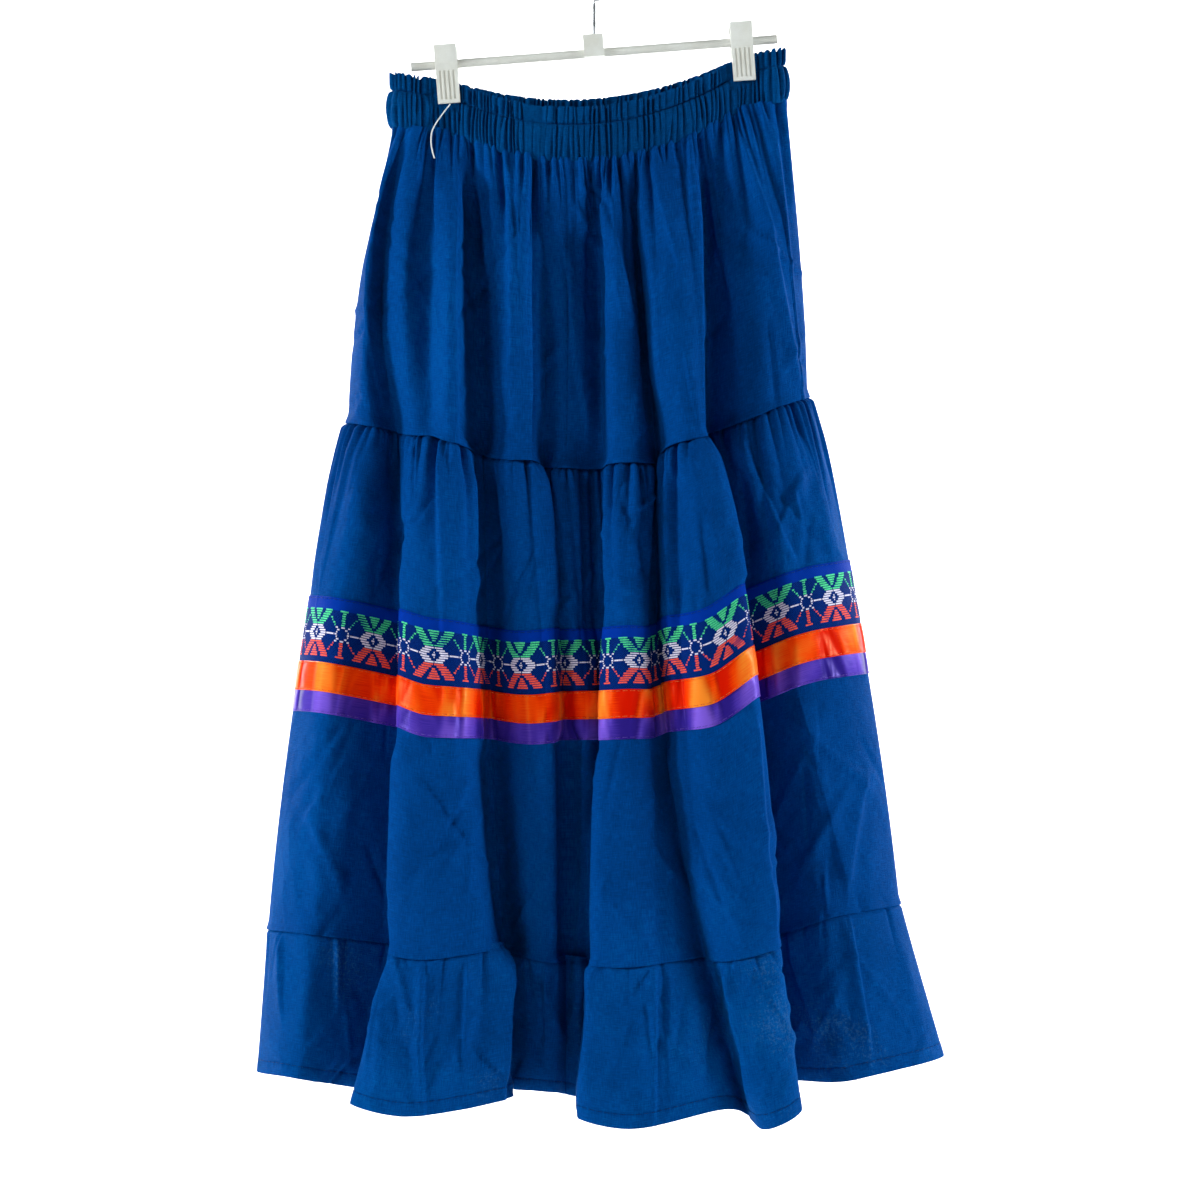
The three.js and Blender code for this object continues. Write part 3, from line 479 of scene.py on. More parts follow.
FLOUNCE_CREASES = creases(
    (-280.8, -883.5, -280.8, -951.0, 4.4, 6, 1.4), (-232.2, -886.2, -232.2, -942.0, 4.4, 1.4, 6),
    (-153.0, -907.8, -156.6, -987.0, -153.0, -1036.5, 4.9, 6, 1.4),
    (-114.3, -904.2, -117.9, -996.0, 4.2, 1.4, 7), (-80.1, -897.0, -80.1, -1014.0, 4.2, 8, 1.6),
    (-44.1, -911.4, -44.1, -978.0, 3.9, 1.5, 7), (2.7, -915.0, -0.9, -951.0, 4.7, 1.4, 6),
    (54.9, -913.2, 54.9, -1050.0, 4.7, 9, 1.4),
    (105.3, -903.3, 109.8, -951.0, 102.6, -996.0, -4.2, 2, 6),
    (116.1, -910.5, 135.0, -991.5, 142.2, -1039.2, 5.2, 2, 8),
    (175.5, -875.4, 178.2, -906.0, 198.9, -969.0, 5.2, 1.6, 8),
    (228.6, -866.4, 248.4, -984.3, 4.9, 7, 1.5), (-255.6, -906.0, -264.6, -987.0, 2.3, 8, 8),
    (2.7, -910.5, -12.6, -1039.2, 6.2, 1.8, 16), (-81.0, -897.0, -81.9, -1032.0, 6.8, 18, 1.8),
    (-192.6, -906.0, -196.2, -1014.0, 2.3, 6, 6), (86.4, -924.0, 90.0, -1032.0, 2.3, 8, 8),
    (275.4, -888.0, 297.9, -978.0, 2.3, 8, 6), (-147.6, -1023.0, -102.6, -942.0, 2.3, 3, 7),
    (23.4, -942.0, 86.4, -996.0, 2.3, 3, 7), (185.4, -924.0, 257.4, -978.0, 2.3, 3, 7),
    (-264.6, -996.0, -219.6, -933.0, 2.1, 3, 6),
)


# Loose creases are strewn between these places across, and lean outwards by this share of their
# length for each millimetre from the middle.
STREWN_FROM = -230
STREWN_TO = 240
OUTWARD_LEAN = 0.0009


def loose_creases(seed: int, count: int, top: float, low: float, side: Side,
                  heights: tuple[float, float] = (0.8, 2.4), lengths: tuple[float, float] = (70, 240),
                  widths: tuple[float, float] = (2.5, 14), slant: float = 0.07) -> tuple[Crease, ...]:
    """Soft folds strewn over one face, mostly upright.

    Args:
        seed: Seed of their places and sizes.
        count: How many there are.
        top: Height that the highest start under.
        low: Height that the lowest end over.
        side: The face they lie on.
        heights: Least and greatest height.
        lengths: Least and greatest length.
        widths: Least and greatest half-width.
        slant: How far they lean, as a share of their length.

    Returns:
        The creases.
    """
    rng = np.random.default_rng(seed)
    made = []
    for _ in range(count):
        x = rng.uniform(STREWN_FROM, STREWN_TO)
        length = rng.uniform(lengths[0], min(lengths[1], top - low))
        z = rng.uniform(low + length, top)
        lean = rng.normal(0.0, slant) * length + x * length * OUTWARD_LEAN
        height = rng.choice([-1.0, 1.0]) * rng.uniform(*heights)
        left, right = rng.uniform(*widths, 2)
        path = ((float(x), float(z)), (float(x + lean), float(z - length)))
        made.append(Crease(path, float(height), float(left), float(right), side))
    return tuple(made)


def rumples(seed: int, count: int, top: float, low: float) -> tuple[Crease, ...]:
    """Small slanting creases from handling, on both faces.

    Args:
        seed: Seed of the front's; the back's is one more.
        count: How many lie on each face.
        top: Height that the highest start under.
        low: Height that the lowest end over.

    Returns:
        The creases.
    """
    return tuple(
        crease
        for i, side in enumerate(Side)
        for crease in loose_creases(seed + i, count, top, low, side,
                                    (1.0, 2.7), (18, 90), (1.3, 5.0), 0.55)
    )


@dataclass(frozen=True)
class Tier:
    """One tier's cloth: the levels it hangs between, its gathers and its creases.

    gathered_at is the distance down of its sewn edge, swell how far it swells out under that, and
    held_flat the stretch that the trims sewn on it keep smooth.
    """

    form: HangingForm
    levels: tuple[int, ...]
    gathered_at: float
    gathers: tuple[Gathers, ...] = ()
    creases: tuple[Crease, ...] = ()
    swell: float = 0.0
    held_flat: tuple[float, float] = (0.0, 0.0)

    @cached_property
    def measured(self) -> tuple[np.ndarray, np.ndarray]:
        """Places round the skirt and how far round the gathered edge each one lies."""
        u = np.linspace(0, ROUND, ROUND * 60 + 1)
        return u, round_length(self.form.surface(self.levels, u, np.array([self.gathered_at]))[0])

    def middle(self, u: np.ndarray, down: np.ndarray) -> np.ndarray:
        """Plain middle layer, before gathers and creases."""
        return self.form.surface(self.levels, u, down)

    def outward(self, u: np.ndarray, down: np.ndarray) -> np.ndarray:
        """Directions out of the cloth.

        Args:
            u: Places round the skirt, in fold lines.
            down: Distances down the cloth.

        Returns:
            Unit vectors, as rows by columns by three.
        """
        step = 0.02
        along = self.middle(u + step, down) - self.middle(u - step, down)
        up = self.middle(u, down - 1.0) - self.middle(u, down + 1.0)
        out = np.cross(along, up)
        return out / np.maximum(np.linalg.norm(out, axis=2, keepdims=True), 1e-9)

    def relief(self, u: np.ndarray, down: np.ndarray, points: np.ndarray) -> np.ndarray:
        """What gathers, creases and the swell under the seam add.

        Args:
            u: Places round the skirt, in fold lines.
            down: Distances down the cloth.
            points: The middle layer there.

        Returns:
            Millimetres outwards, as rows by columns.
        """
        places, lengths = self.measured
        turns = np.floor(u / ROUND)
        s = np.interp(u - turns * ROUND, places, lengths)
        total = np.zeros(points.shape[:2])
        for gathers in self.gathers:
            total += gathers.relief(s, down, float(lengths[-1]))
        across, up = seen_from_front(points)
        start, end = self.held_flat
        held = (eased((down - start) / 6) * eased((end - down) / 6))[:, None]
        for crease in self.creases:
            facing = eased(points[..., 1] * crease.side.value / 12)
            # Trims sewn on flatten the narrow creases.
            stiffened = 1 - 0.85 * held * (min(crease.left, crease.right) < 6)
            total += crease.relief(across, up) * facing * stiffened
        below = np.maximum(down - self.gathered_at, 0.0)[:, None]
        return total + swollen(below, self.swell)

    def cloth(self, u: np.ndarray, down: np.ndarray, lift: np.ndarray | float = 0.0) -> np.ndarray:
        """Dressed cloth, moved out by a distance.

        Args:
            u: Places round the skirt, in fold lines.
            down: Distances down the cloth.
            lift: Millimetres outwards, one for all or as rows by columns.

        Returns:
            Points in millimetres, as rows by columns by three.
        """
        points = self.middle(u, down)
        push = self.relief(u, down, points) + lift
        return points + self.outward(u, down) * push[..., None]


def round_length(points: np.ndarray) -> np.ndarray:
    """Running length along a row of points, from 0."""
    return np.concatenate([[0.0], np.cumsum(np.linalg.norm(np.diff(points, axis=0), axis=1))])


def points_along(places: np.ndarray, length: np.ndarray, line: np.ndarray) -> np.ndarray:
    """Points of a line at places measured along it."""
    return np.stack([np.interp(places, length, coordinate) for coordinate in line.T], 1)


def even_places(tier: Tier, down: float, start: float, end: float, count: int) -> np.ndarray:
    """Places round the skirt that lie evenly along the cloth.

    Args:
        tier: The tier that is measured.
        down: Distance down the cloth at which the places are even.
        start: First place, in fold lines.
        end: Last place, in fold lines.
        count: How many places.

    Returns:
        The places, in fold lines.
    """
    fine = np.linspace(start, end, 4000)
    length = round_length(tier.middle(fine, np.array([down]))[0])
    return np.interp(np.linspace(0, length[-1], count), length, fine)


def meshed(name: str, bm: bmesh.types.BMesh, smooth: bool = True) -> bpy.types.Mesh:
    """Turns a bmesh into a mesh and frees it.

    Args:
        name: Name of the mesh.
        bm: The bmesh.
        smooth: True to shade its faces smooth.

    Returns:
        The new mesh.
    """
    mesh = bpy.data.meshes.new(name)
    bm.to_mesh(mesh)
    bm.free()
    if smooth:
        mesh.polygons.foreach_set("use_smooth", np.ones(len(mesh.polygons), bool))
    return mesh


def vertex_places(mesh: bpy.types.Mesh) -> np.ndarray:
    """Places of a mesh's vertices, as rows of three."""
    flat = np.zeros(len(mesh.vertices) * 3)
    mesh.vertices.foreach_get("co", flat)
    return flat.reshape(-1, 3)


def move_vertices(mesh: bpy.types.Mesh, points: np.ndarray) -> None:
    """Moves a mesh's vertices to points in millimetres."""
    mesh.vertices.foreach_set("co", (points * MM).ravel())
    mesh.update()


def placed(name: str, content: bpy.types.ID) -> bpy.types.Object:
    """Puts a mesh, curve, light or camera into the scene as an object at the origin."""
    piece = bpy.data.objects.new(name, content)
    bpy.context.scene.collection.objects.link(piece)
    return piece


def cloth_mesh(name: str, points: np.ndarray, uv: np.ndarray, closed: bool = False) -> bpy.types.Object:
    """Makes a piece of cloth from a grid of points, with its cut as a UV map.

    Args:
        name: Name of the piece.
        points: Millimetres, as rows from the top down by columns by three.
        uv: Metres of flat cloth, as rows by columns by two.
        closed: True where the last column lies on the first.

    Returns:
        The new object.
    """
    rows, columns = points.shape[:2]
    bm = bmesh.new()
    bmesh.ops.create_grid(bm, x_segments=columns - 1, y_segments=rows - 1, size=1.0)
    mesh = meshed(name, bm)
    flat = vertex_places(mesh)
    column = np.rint((flat[:, 0] + 1) / 2 * (columns - 1)).astype(int)
    row = rows - 1 - np.rint((flat[:, 1] + 1) / 2 * (rows - 1)).astype(int)
    move_vertices(mesh, points[row, column])
    corners = np.zeros(len(mesh.loops), int)
    mesh.loops.foreach_get("vertex_index", corners)
    layer = mesh.uv_layers.new(name="cut")
    layer.data.foreach_set("uv", uv[row[corners], column[corners]].ravel())
    if closed:
        bm = bmesh.new()
        bm.from_mesh(mesh)
        bmesh.ops.remove_doubles(bm, verts=bm.verts, dist=1e-6)
        bm.to_mesh(mesh)
        bm.free()
    return placed(name, mesh)


def linear(hex_colour: str) -> tuple[float, float, float, float]:
    """Colour written as six hex digits, turned into the linear values that shaders take."""
    parts = [int(hex_colour[i : i + 2], 16) / 255 for i in (0, 2, 4)]
    turned = [c / 12.92 if c <= 0.04045 else ((c + 0.055) / 1.055) ** 2.4 for c in parts]
    return (*turned, 1.0)


def add(
    tree: bpy.types.NodeTree,
    kind: str,
    inputs: dict[str | int, object] | None = None,
    settings: dict[str, object] | None = None,
    stops: tuple[tuple[float, str], ...] = (),
) -> bpy.types.Node:
    """Adds a node with its settings, values and links.

    Args:
        tree: The tree that gets the node.
        kind: The node's type, after the word ShaderNode.
        inputs: Values, sockets or nodes for its inputs; a node stands for its first output.
        settings: Its properties.
        stops: Places and hex colours of a colour ramp.

    Returns:
        The node.
    """
    made = tree.nodes.new(f"ShaderNode{kind}")
    for name, value in (settings or {}).items():
        setattr(made, name, value)
    for name, value in (inputs or {}).items():
        if isinstance(value, bpy.types.Node):
            value = value.outputs[0]
        if isinstance(value, bpy.types.NodeSocket):
            tree.links.new(value, made.inputs[name])
        else:
            made.inputs[name].default_value = value
    if stops:
        band = made.color_ramp.elements
        while len(band) < len(stops):
            band.new(0.5)
        for element, (place, colour) in zip(band, stops):
            element.position = place
            element.color = linear(colour)
    return made


@dataclass(frozen=True)
class Finish:
    """A finish of the object, which becomes a node material."""

    name: str

    def surface(self, tree: bpy.types.NodeTree) -> dict[str | int, object]:
        """Inputs of the shader, with the nodes that feed them.

        Args:
            tree: The material's tree, which gets the nodes.

        Returns:
            Values and nodes for the shader's inputs.
        """
        raise NotImplementedError

    def material(self) -> bpy.types.Material:
        """Makes the material."""
        material = bpy.data.materials.new(self.name)
        material.use_nodes = True
        tree = material.node_tree
        tree.nodes.clear()
        shader = add(tree, "BsdfPrincipled", self.surface(tree))
        add(tree, "OutputMaterial", {"Surface": shader})
        return material


@dataclass(frozen=True)
class Cotton(Finish):
    """Plain-weave cotton: slubby threads both ways, a washed tone that drifts, and lint."""

    deep: str
    mid: str
    light: str
    lint: float = 0.0

    def surface(self, tree: bpy.types.NodeTree) -> dict[str | int, object]:
        """Inputs of the cloth's shader, whose threads follow the cut.

        Args:
            tree: The material's tree, which gets the nodes.

        Returns:
            Values and nodes for the shader's inputs.
        """
        cut = add(tree, "UVMap", settings={"uv_map": "cut"})
        place = add(tree, "TexCoord").outputs["Object"]
        # Threads show 0.7 mm apart and 9 mm long between slubs, coarser than real ones of 0.3 mm.
        slubs = [
            add(tree, "TexNoise",
                {"Vector": add(tree, "Mapping", {"Vector": cut, "Scale": scale}),
                 "Scale": 1.0, "Detail": 2.0, "Roughness": 0.6}, {"noise_dimensions": "2D"})
            for scale in ((1500.0, 110.0, 1.0), (110.0, 1500.0, 1.0))
        ]
        woven = add(tree, "Math", {0: slubs[0], 1: slubs[1]}, {"operation": "ADD"})
        # Dye took unevenly and the cloth has been washed, so its tone drifts over a hand's width.
        drift = add(tree, "TexNoise", {"Vector": place, "Scale": 5.0, "Detail": 4.0, "Roughness": 0.62})
        half = add(tree, "Math", {0: woven, 1: 0.8, 2: -0.8}, {"operation": "MULTIPLY_ADD"})
        tone = add(tree, "Math", {0: drift, 1: half}, {"operation": "ADD"})
        colour = add(tree, "ValToRGB", {"Fac": tone},
                     stops=((0.2, self.deep), (0.5, self.mid), (0.8, self.light)))
        if self.lint > 0:
            # Lint and pale chalky specks of 2 mm gather in patches near the hem.
            specks = add(tree, "TexNoise",
                         {"Vector": place, "Scale": 420.0, "Detail": 3.0, "Roughness": 0.7})
            patches = add(tree, "TexNoise", {"Vector": place, "Scale": 14.0, "Detail": 2.0})
            both = add(tree, "Math", {0: specks, 1: patches}, {"operation": "MULTIPLY"})
            few = add(tree, "MapRange", {"Value": both, "From Min": 0.34, "From Max": 0.44,
                                         "To Min": 0.0, "To Max": self.lint})
            colour = add(tree, "MixRGB", {"Fac": few, "Color1": colour, "Color2": linear("5F93AE")})
        # Crumples from folding: flat facets about 60 mm wide that meet in crisp lines.
        stray = add(tree, "TexNoise",
                    {"Vector": place, "Scale": 9.0, "Detail": 2.0, "Roughness": 0.5}).outputs["Color"]
        moved = add(tree, "VectorMath", {0: stray, 1: (0.07, 0.07, 0.07), 2: place},
                    {"operation": "MULTIPLY_ADD"})
        long = add(tree, "Mapping", {"Vector": moved, "Scale": (1.0, 1.0, 0.55)})
        facets = add(tree, "TexVoronoi", {"Vector": long, "Scale": 17.0, "Detail": 1.0, "Roughness": 0.5})
        pressed = add(tree, "MapRange", {"Value": drift, "From Min": 0.42, "From Max": 0.62,
                                         "To Min": 0.25, "To Max": 1.0})
        crumple = add(tree, "Math", {0: facets, 1: pressed}, {"operation": "MULTIPLY"})
        soft = add(tree, "Bump", {"Strength": 1.0, "Distance": 0.0085, "Height": crumple})
        grain = add(tree, "Bump", {"Strength": 0.6, "Distance": 0.0008, "Height": woven, "Normal": soft})
        return {
            "Base Color": colour,
            "Roughness": 0.82,
            "Specular IOR Level": 0.05,
            "Specular Tint": linear("1C9AC4"),
            "Sheen Weight": 0.05,
            "Sheen Roughness": 0.5,
            "Sheen Tint": linear("2E9CC4"),
            "Normal": grain,
        }


@dataclass(frozen=True)
class TwillTrim(Finish):
    """Woven trim ground: fine slanting twill ribs under a plainer selvedge."""

    selvedge: str
    ground: str
    edge: float

    def surface(self, tree: bpy.types.NodeTree) -> dict[str | int, object]:
        """Inputs of the trim's shader; V runs down the trim in metres from its top edge.

        Args:
            tree: The material's tree, which gets the nodes.

        Returns:
            Values and nodes for the shader's inputs.
        """
        cut = add(tree, "UVMap", settings={"uv_map": "cut"})
        turned = add(tree, "Mapping", {"Vector": cut, "Rotation": (0.0, 0.0, math.radians(38))})
        # Twill ribs about 1.2 mm apart catch the light in slanting lines.
        ribs = add(tree, "TexWave", {"Vector": turned, "Scale": 262.0, "Distortion": 0.6, "Detail": 1.0},
                   {"wave_type": "BANDS", "bands_direction": "X"}).outputs["Fac"]
        fibre = add(tree, "TexNoise", {"Vector": cut, "Scale": 900.0, "Detail": 2.0},
                    {"noise_dimensions": "2D"})
        mixed = add(tree, "Math", {0: ribs, 1: 0.55, 2: fibre}, {"operation": "MULTIPLY_ADD"})
        body = add(tree, "ValToRGB", {"Fac": mixed},
                   stops=((0.3, "000B36"), (0.65, self.ground), (1.0, "06307C")))
        # The selvedge above the pattern is woven plain and reads a brighter blue.
        down = add(tree, "SeparateXYZ", {"Vector": cut}).outputs["Y"]
        plain = add(tree, "MapRange", {"Value": down, "From Min": self.edge,
                                       "From Max": self.edge + 0.0006, "To Min": 1.0, "To Max": 0.0})
        colour = add(tree, "MixRGB", {"Fac": plain, "Color1": body, "Color2": linear(self.selvedge)})
        bump = add(tree, "Bump", {"Strength": 0.5, "Distance": 0.0004, "Height": mixed})
        return {
            "Base Color": colour,
            "Roughness": 0.68,
            "Specular IOR Level": 0.08,
            "Specular Tint": linear("3C7CE0"),
            "Normal": bump,
        }


@dataclass(frozen=True)
class Satin(Finish):
    """Satin ribbon: bright threads along its length that shine in one direction, with painted shade and
    painted highlights in patches over its puckers.
    """

    shade: str
    body: str
    painted_highlight_and_specular_tint: str

    def surface(self, tree: bpy.types.NodeTree) -> dict[str | int, object]:
        """Inputs of the ribbon's shader, whose soft puckers follow its length.

        Args:
            tree: The material's tree, which gets the nodes.

        Returns:
            Values and nodes for the shader's inputs.
        """
        cut = add(tree, "UVMap", settings={"uv_map": "cut"})
        threads = add(tree, "Mapping", {"Vector": cut, "Scale": (60.0, 3200.0, 1.0)})
        # Threads 0.3 mm apart run along the ribbon.
        fine = add(tree, "TexNoise", {"Vector": threads, "Scale": 1.0, "Detail": 2.0},
                   {"noise_dimensions": "2D"})
        # Puckers about 24 mm apart cross the ribbon, where its stitching draws it in.
        upright = add(tree, "Mapping", {"Vector": cut, "Scale": (42.0, 12.0, 1.0)})
        pucker = add(tree, "TexNoise", {"Vector": upright, "Scale": 1.0, "Detail": 1.4,
                                        "Roughness": 0.45, "Distortion": 0.5},
                     {"noise_dimensions": "2D"})
        tone = add(tree, "Math", {0: fine, 1: 0.25, 2: pucker}, {"operation": "MULTIPLY_ADD"})
        # The puckers' noise also paints the colour: the shade colour is painted shade in their hollows,
        # and the highlight colour is painted highlight on their rises.
        colour = add(tree, "ValToRGB", {"Fac": tone},
                     stops=((0.5, self.shade), (0.64, self.body), (0.86, self.painted_highlight_and_specular_tint)))
        soft = add(tree, "Bump", {"Strength": 0.9, "Distance": 0.009, "Height": pucker})
        bump = add(tree, "Bump", {"Strength": 0.2, "Distance": 0.0002, "Height": fine, "Normal": soft})
        return {
            "Base Color": colour,
            "Roughness": 0.32,
            "Specular IOR Level": 0.5,
            "Specular Tint": linear(self.painted_highlight_and_specular_tint),
            "Anisotropic": 0.4,
            "Normal": bump,
        }


@dataclass(frozen=True)
class Yarn(Finish):
    """Twisted sewing or pattern thread."""

    dark: str
    light: str
    roughness: float = 0.6

    def surface(self, tree: bpy.types.NodeTree) -> dict[str | int, object]:
        """Inputs of the thread's shader, mottled by its twist at about 1 mm.

        Args:
            tree: The material's tree, which gets the nodes.

        Returns:
            Values and nodes for the shader's inputs.
        """
        place = add(tree, "TexCoord").outputs["Object"]
        twist = add(tree, "TexNoise", {"Vector": place, "Scale": 900.0, "Detail": 2.0, "Roughness": 0.6})
        colour = add(tree, "ValToRGB", {"Fac": twist}, stops=((0.32, self.dark), (0.62, self.light)))
        bump = add(tree, "Bump", {"Strength": 0.5, "Distance": 0.0002, "Height": twist})
        return {
            "Base Color": colour,
            "Roughness": self.roughness,
            "Specular IOR Level": 0.12,
            "Normal": bump,
        }


@dataclass(frozen=True)
class Hardware(Finish):
    """Moulded plastic or plated wire of the hanger, with handling marks."""

    dark: str
    light: str
    roughness: float
    metallic: float

    def surface(self, tree: bpy.types.NodeTree) -> dict[str | int, object]:
        """Inputs of the hard shader, with a faint mottle and a gloss that varies.

        Args:
            tree: The material's tree, which gets the nodes.

        Returns:
            Values and nodes for the shader's inputs.
        """
        place = add(tree, "TexCoord").outputs["Object"]
        mottle = add(tree, "TexNoise", {"Vector": place, "Scale": 60.0, "Detail": 4.0, "Roughness": 0.6})
        scuffs = add(tree, "TexNoise", {"Vector": place, "Scale": 700.0, "Detail": 2.0})
        colour = add(tree, "ValToRGB", {"Fac": mottle}, stops=((0.35, self.dark), (0.65, self.light)))
        gloss = add(tree, "MapRange", {"Value": mottle, "From Min": 0.3, "From Max": 0.7,
                                       "To Min": self.roughness - 0.06, "To Max": self.roughness + 0.1})
        bump = add(tree, "Bump", {"Strength": 0.2, "Distance": 0.0001, "Height": scuffs})
        return {"Base Color": colour, "Roughness": gloss, "Metallic": self.metallic, "Normal": bump}


@dataclass(frozen=True)
class StudioPaper(Finish):
    """Matt studio paper."""

    colour: str

    def surface(self, tree: bpy.types.NodeTree) -> dict[str | int, object]:
        """Inputs of the paper's shader, with a faint tooth.

        Args:
            tree: The material's tree, which gets the nodes.

        Returns:
            Values and nodes for the shader's inputs.
        """
        place = add(tree, "TexCoord").outputs["Object"]
        tooth = add(tree, "TexNoise", {"Vector": place, "Scale": 300.0})
        bump = add(tree, "Bump", {"Strength": 0.05, "Distance": 0.0002, "Height": tooth})
        return {"Base Color": linear(self.colour), "Roughness": 0.95, "Normal": bump}


def made_of(finish: Finish) -> Any:
    """Field of a dataclass that holds the material of a finish."""
    return field(default_factory=finish.material)


@dataclass
class Finishes:
    """Every material of the skirt and its hanger, made once."""

    # Deep royal-blue cotton, darker and matt in its folds.
    cotton: bpy.types.Material = made_of(Cotton("blue_cotton", "003470", "003E84", "004C93"))
    # The flounce is the same cotton with lint near its hem, painted a little lighter and more teal as
    # painted light shining through the cloth.
    hem_cotton: bpy.types.Material = made_of(
        Cotton("blue_cotton_hem", "003673", "004187", "005096", 0.12))
    # The casing is the same cotton, doubled and a little duller.
    casing: bpy.types.Material = made_of(Cotton("blue_cotton_casing", "00335F", "003C74", "004984"))
    # Woven trim ground: violet-leaning blue twill with a brighter plain top edge.
    twill: bpy.types.Material = made_of(TwillTrim("woven_twill", "003096", "001B60", 0.0105))
    # Orange satin: red painted shade and yellow-orange painted highlights in patches over its puckers,
    # with a yellow-orange specular tint.
    orange: bpy.types.Material = made_of(Satin("orange_satin", "E01400", "FF4402", "FF8A28"))
    # Purple satin: dark violet painted shade and lilac painted highlights in patches over its puckers,
    # with a lilac specular tint.
    purple: bpy.types.Material = made_of(Satin("purple_satin", "2C1C80", "4A32A6", "7C58D0"))
    # Pattern yarns of the trim.
    green_yarn: bpy.types.Material = made_of(Yarn("green_yarn", "2FB873", "5BE6A0"))
    white_yarn: bpy.types.Material = made_of(Yarn("white_yarn", "C9BEDC", "EFE8F4"))
    coral_yarn: bpy.types.Material = made_of(Yarn("coral_yarn", "E8402C", "FF6552"))
    # Sewing threads, a shade off the cloth that they hold.
    blue_thread: bpy.types.Material = made_of(Yarn("blue_sewing_thread", "002556", "003674"))
    orange_thread: bpy.types.Material = made_of(Yarn("orange_sewing_thread", "D83A0A", "FF8A50"))
    violet_thread: bpy.types.Material = made_of(Yarn("violet_sewing_thread", "3C2490", "7A5CC8"))
    white_thread: bpy.types.Material = made_of(Yarn("white_thread", "D8D8D4", "F6F5F1", 0.7))
    # Cream-white moulded polypropylene of the clips and bar: half gloss, a little uneven.
    plastic: bpy.types.Material = made_of(Hardware("cream_plastic", "E0DDD2", "EBE9E1", 0.36, 0.0))
    # Bright nickel-plated wire and springs.
    steel: bpy.types.Material = made_of(Hardware("plated_steel", "A9ACB0", "CDD0D4", 0.24, 1.0))


def declared(
    piece: bpy.types.Object,
    material: bpy.types.Material,
    replaced: tuple[str, ...] = (),
) -> bpy.types.Object:
    """Dresses a piece and lets it ride on the skirt's one body.

    Args:
        piece: The new piece.
        material: Its finish.
        replaced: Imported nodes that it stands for.

    Returns:
        The piece.
    """
    if not piece.data.materials:
        piece.data.materials.append(material)
    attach(piece, "root")
    if replaced:
        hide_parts(*replaced)
    faces = piece.data.polygons if piece.type == "MESH" else ()
    log.info("%s: %d triangles", piece.name, sum(len(face.vertices) - 2 for face in faces))
    return piece


@dataclass
class PatchGrid:
    """Fine grid of dressed cloth that trims, stitches and patterns are laid on.

    points and normals are given by row and column, s is the distance along of each column and
    down the distance down of each row.
    """

    points: np.ndarray
    normals: np.ndarray
    s: np.ndarray
    down: np.ndarray

    @classmethod
    def of(cls, tier: Tier, u: np.ndarray, down: np.ndarray, measured_at: float) -> PatchGrid:
        """Lays out the grid of a tier.

        Args:
            tier: The tier.
            u: Places round the skirt, in fold lines.
            down: Distances down the cloth.
            measured_at: Distance down at which lengths along the cloth are measured.

        Returns:
            The grid.
        """
        points = tier.cloth(u, down)
        along = np.gradient(points, axis=1)
        up = -np.gradient(points, axis=0)
        out = np.cross(along, up)
        normals = out / np.linalg.norm(out, axis=2, keepdims=True)
        row = int(np.argmin(np.abs(down - measured_at)))
        return cls(points, normals, round_length(points[row]), down)

    def at(self, s: np.ndarray, down: np.ndarray, lift: np.ndarray | float) -> np.ndarray:
        """Points on the cloth.

        Args:
            s: Distances along the cloth.
            down: Distances down the cloth.
            lift: Millimetres off the cloth.

        Returns:
            Points in millimetres, one for each place.
        """
        column = np.interp(s, self.s, np.arange(len(self.s)))
        row = np.interp(down, self.down, np.arange(len(self.down)))
        c0 = np.clip(column.astype(int), 0, len(self.s) - 2)
        r0 = np.clip(row.astype(int), 0, len(self.down) - 2)
        wc = (column - c0)[..., None]
        wr = (row - r0)[..., None]

        def mixed(grid: np.ndarray) -> np.ndarray:
            """Value of a grid between its four nearest places."""
            top = grid[r0, c0] * (1 - wc) + grid[r0, c0 + 1] * wc
            low = grid[r0 + 1, c0] * (1 - wc) + grid[r0 + 1, c0 + 1] * wc
            return top * (1 - wr) + low * wr

        lifted = np.broadcast_to(np.asarray(lift, float), s.shape)[..., None]
        return mixed(self.points) + mixed(self.normals) * lifted


def repeat_geometry(bm: bmesh.types.BMesh, count: int) -> None:
    """Copies all that a bmesh holds until it holds it a number of times.

    Args:
        bm: The bmesh.
        count: How many times it holds its content in the end, copy after copy.
    """
    each = len(bm.verts)
    copies = 1
    while copies < count:
        more = min(copies, count - copies)
        bm.verts.index_update()
        bm.verts.ensure_lookup_table()
        limit = each * more
        wanted = [*bm.verts[:limit]]
        for kind in (bm.edges, bm.faces):
            wanted += [item for item in kind if all(vertex.index < limit for vertex in item.verts)]
        bmesh.ops.duplicate(bm, geom=wanted)
        copies += more


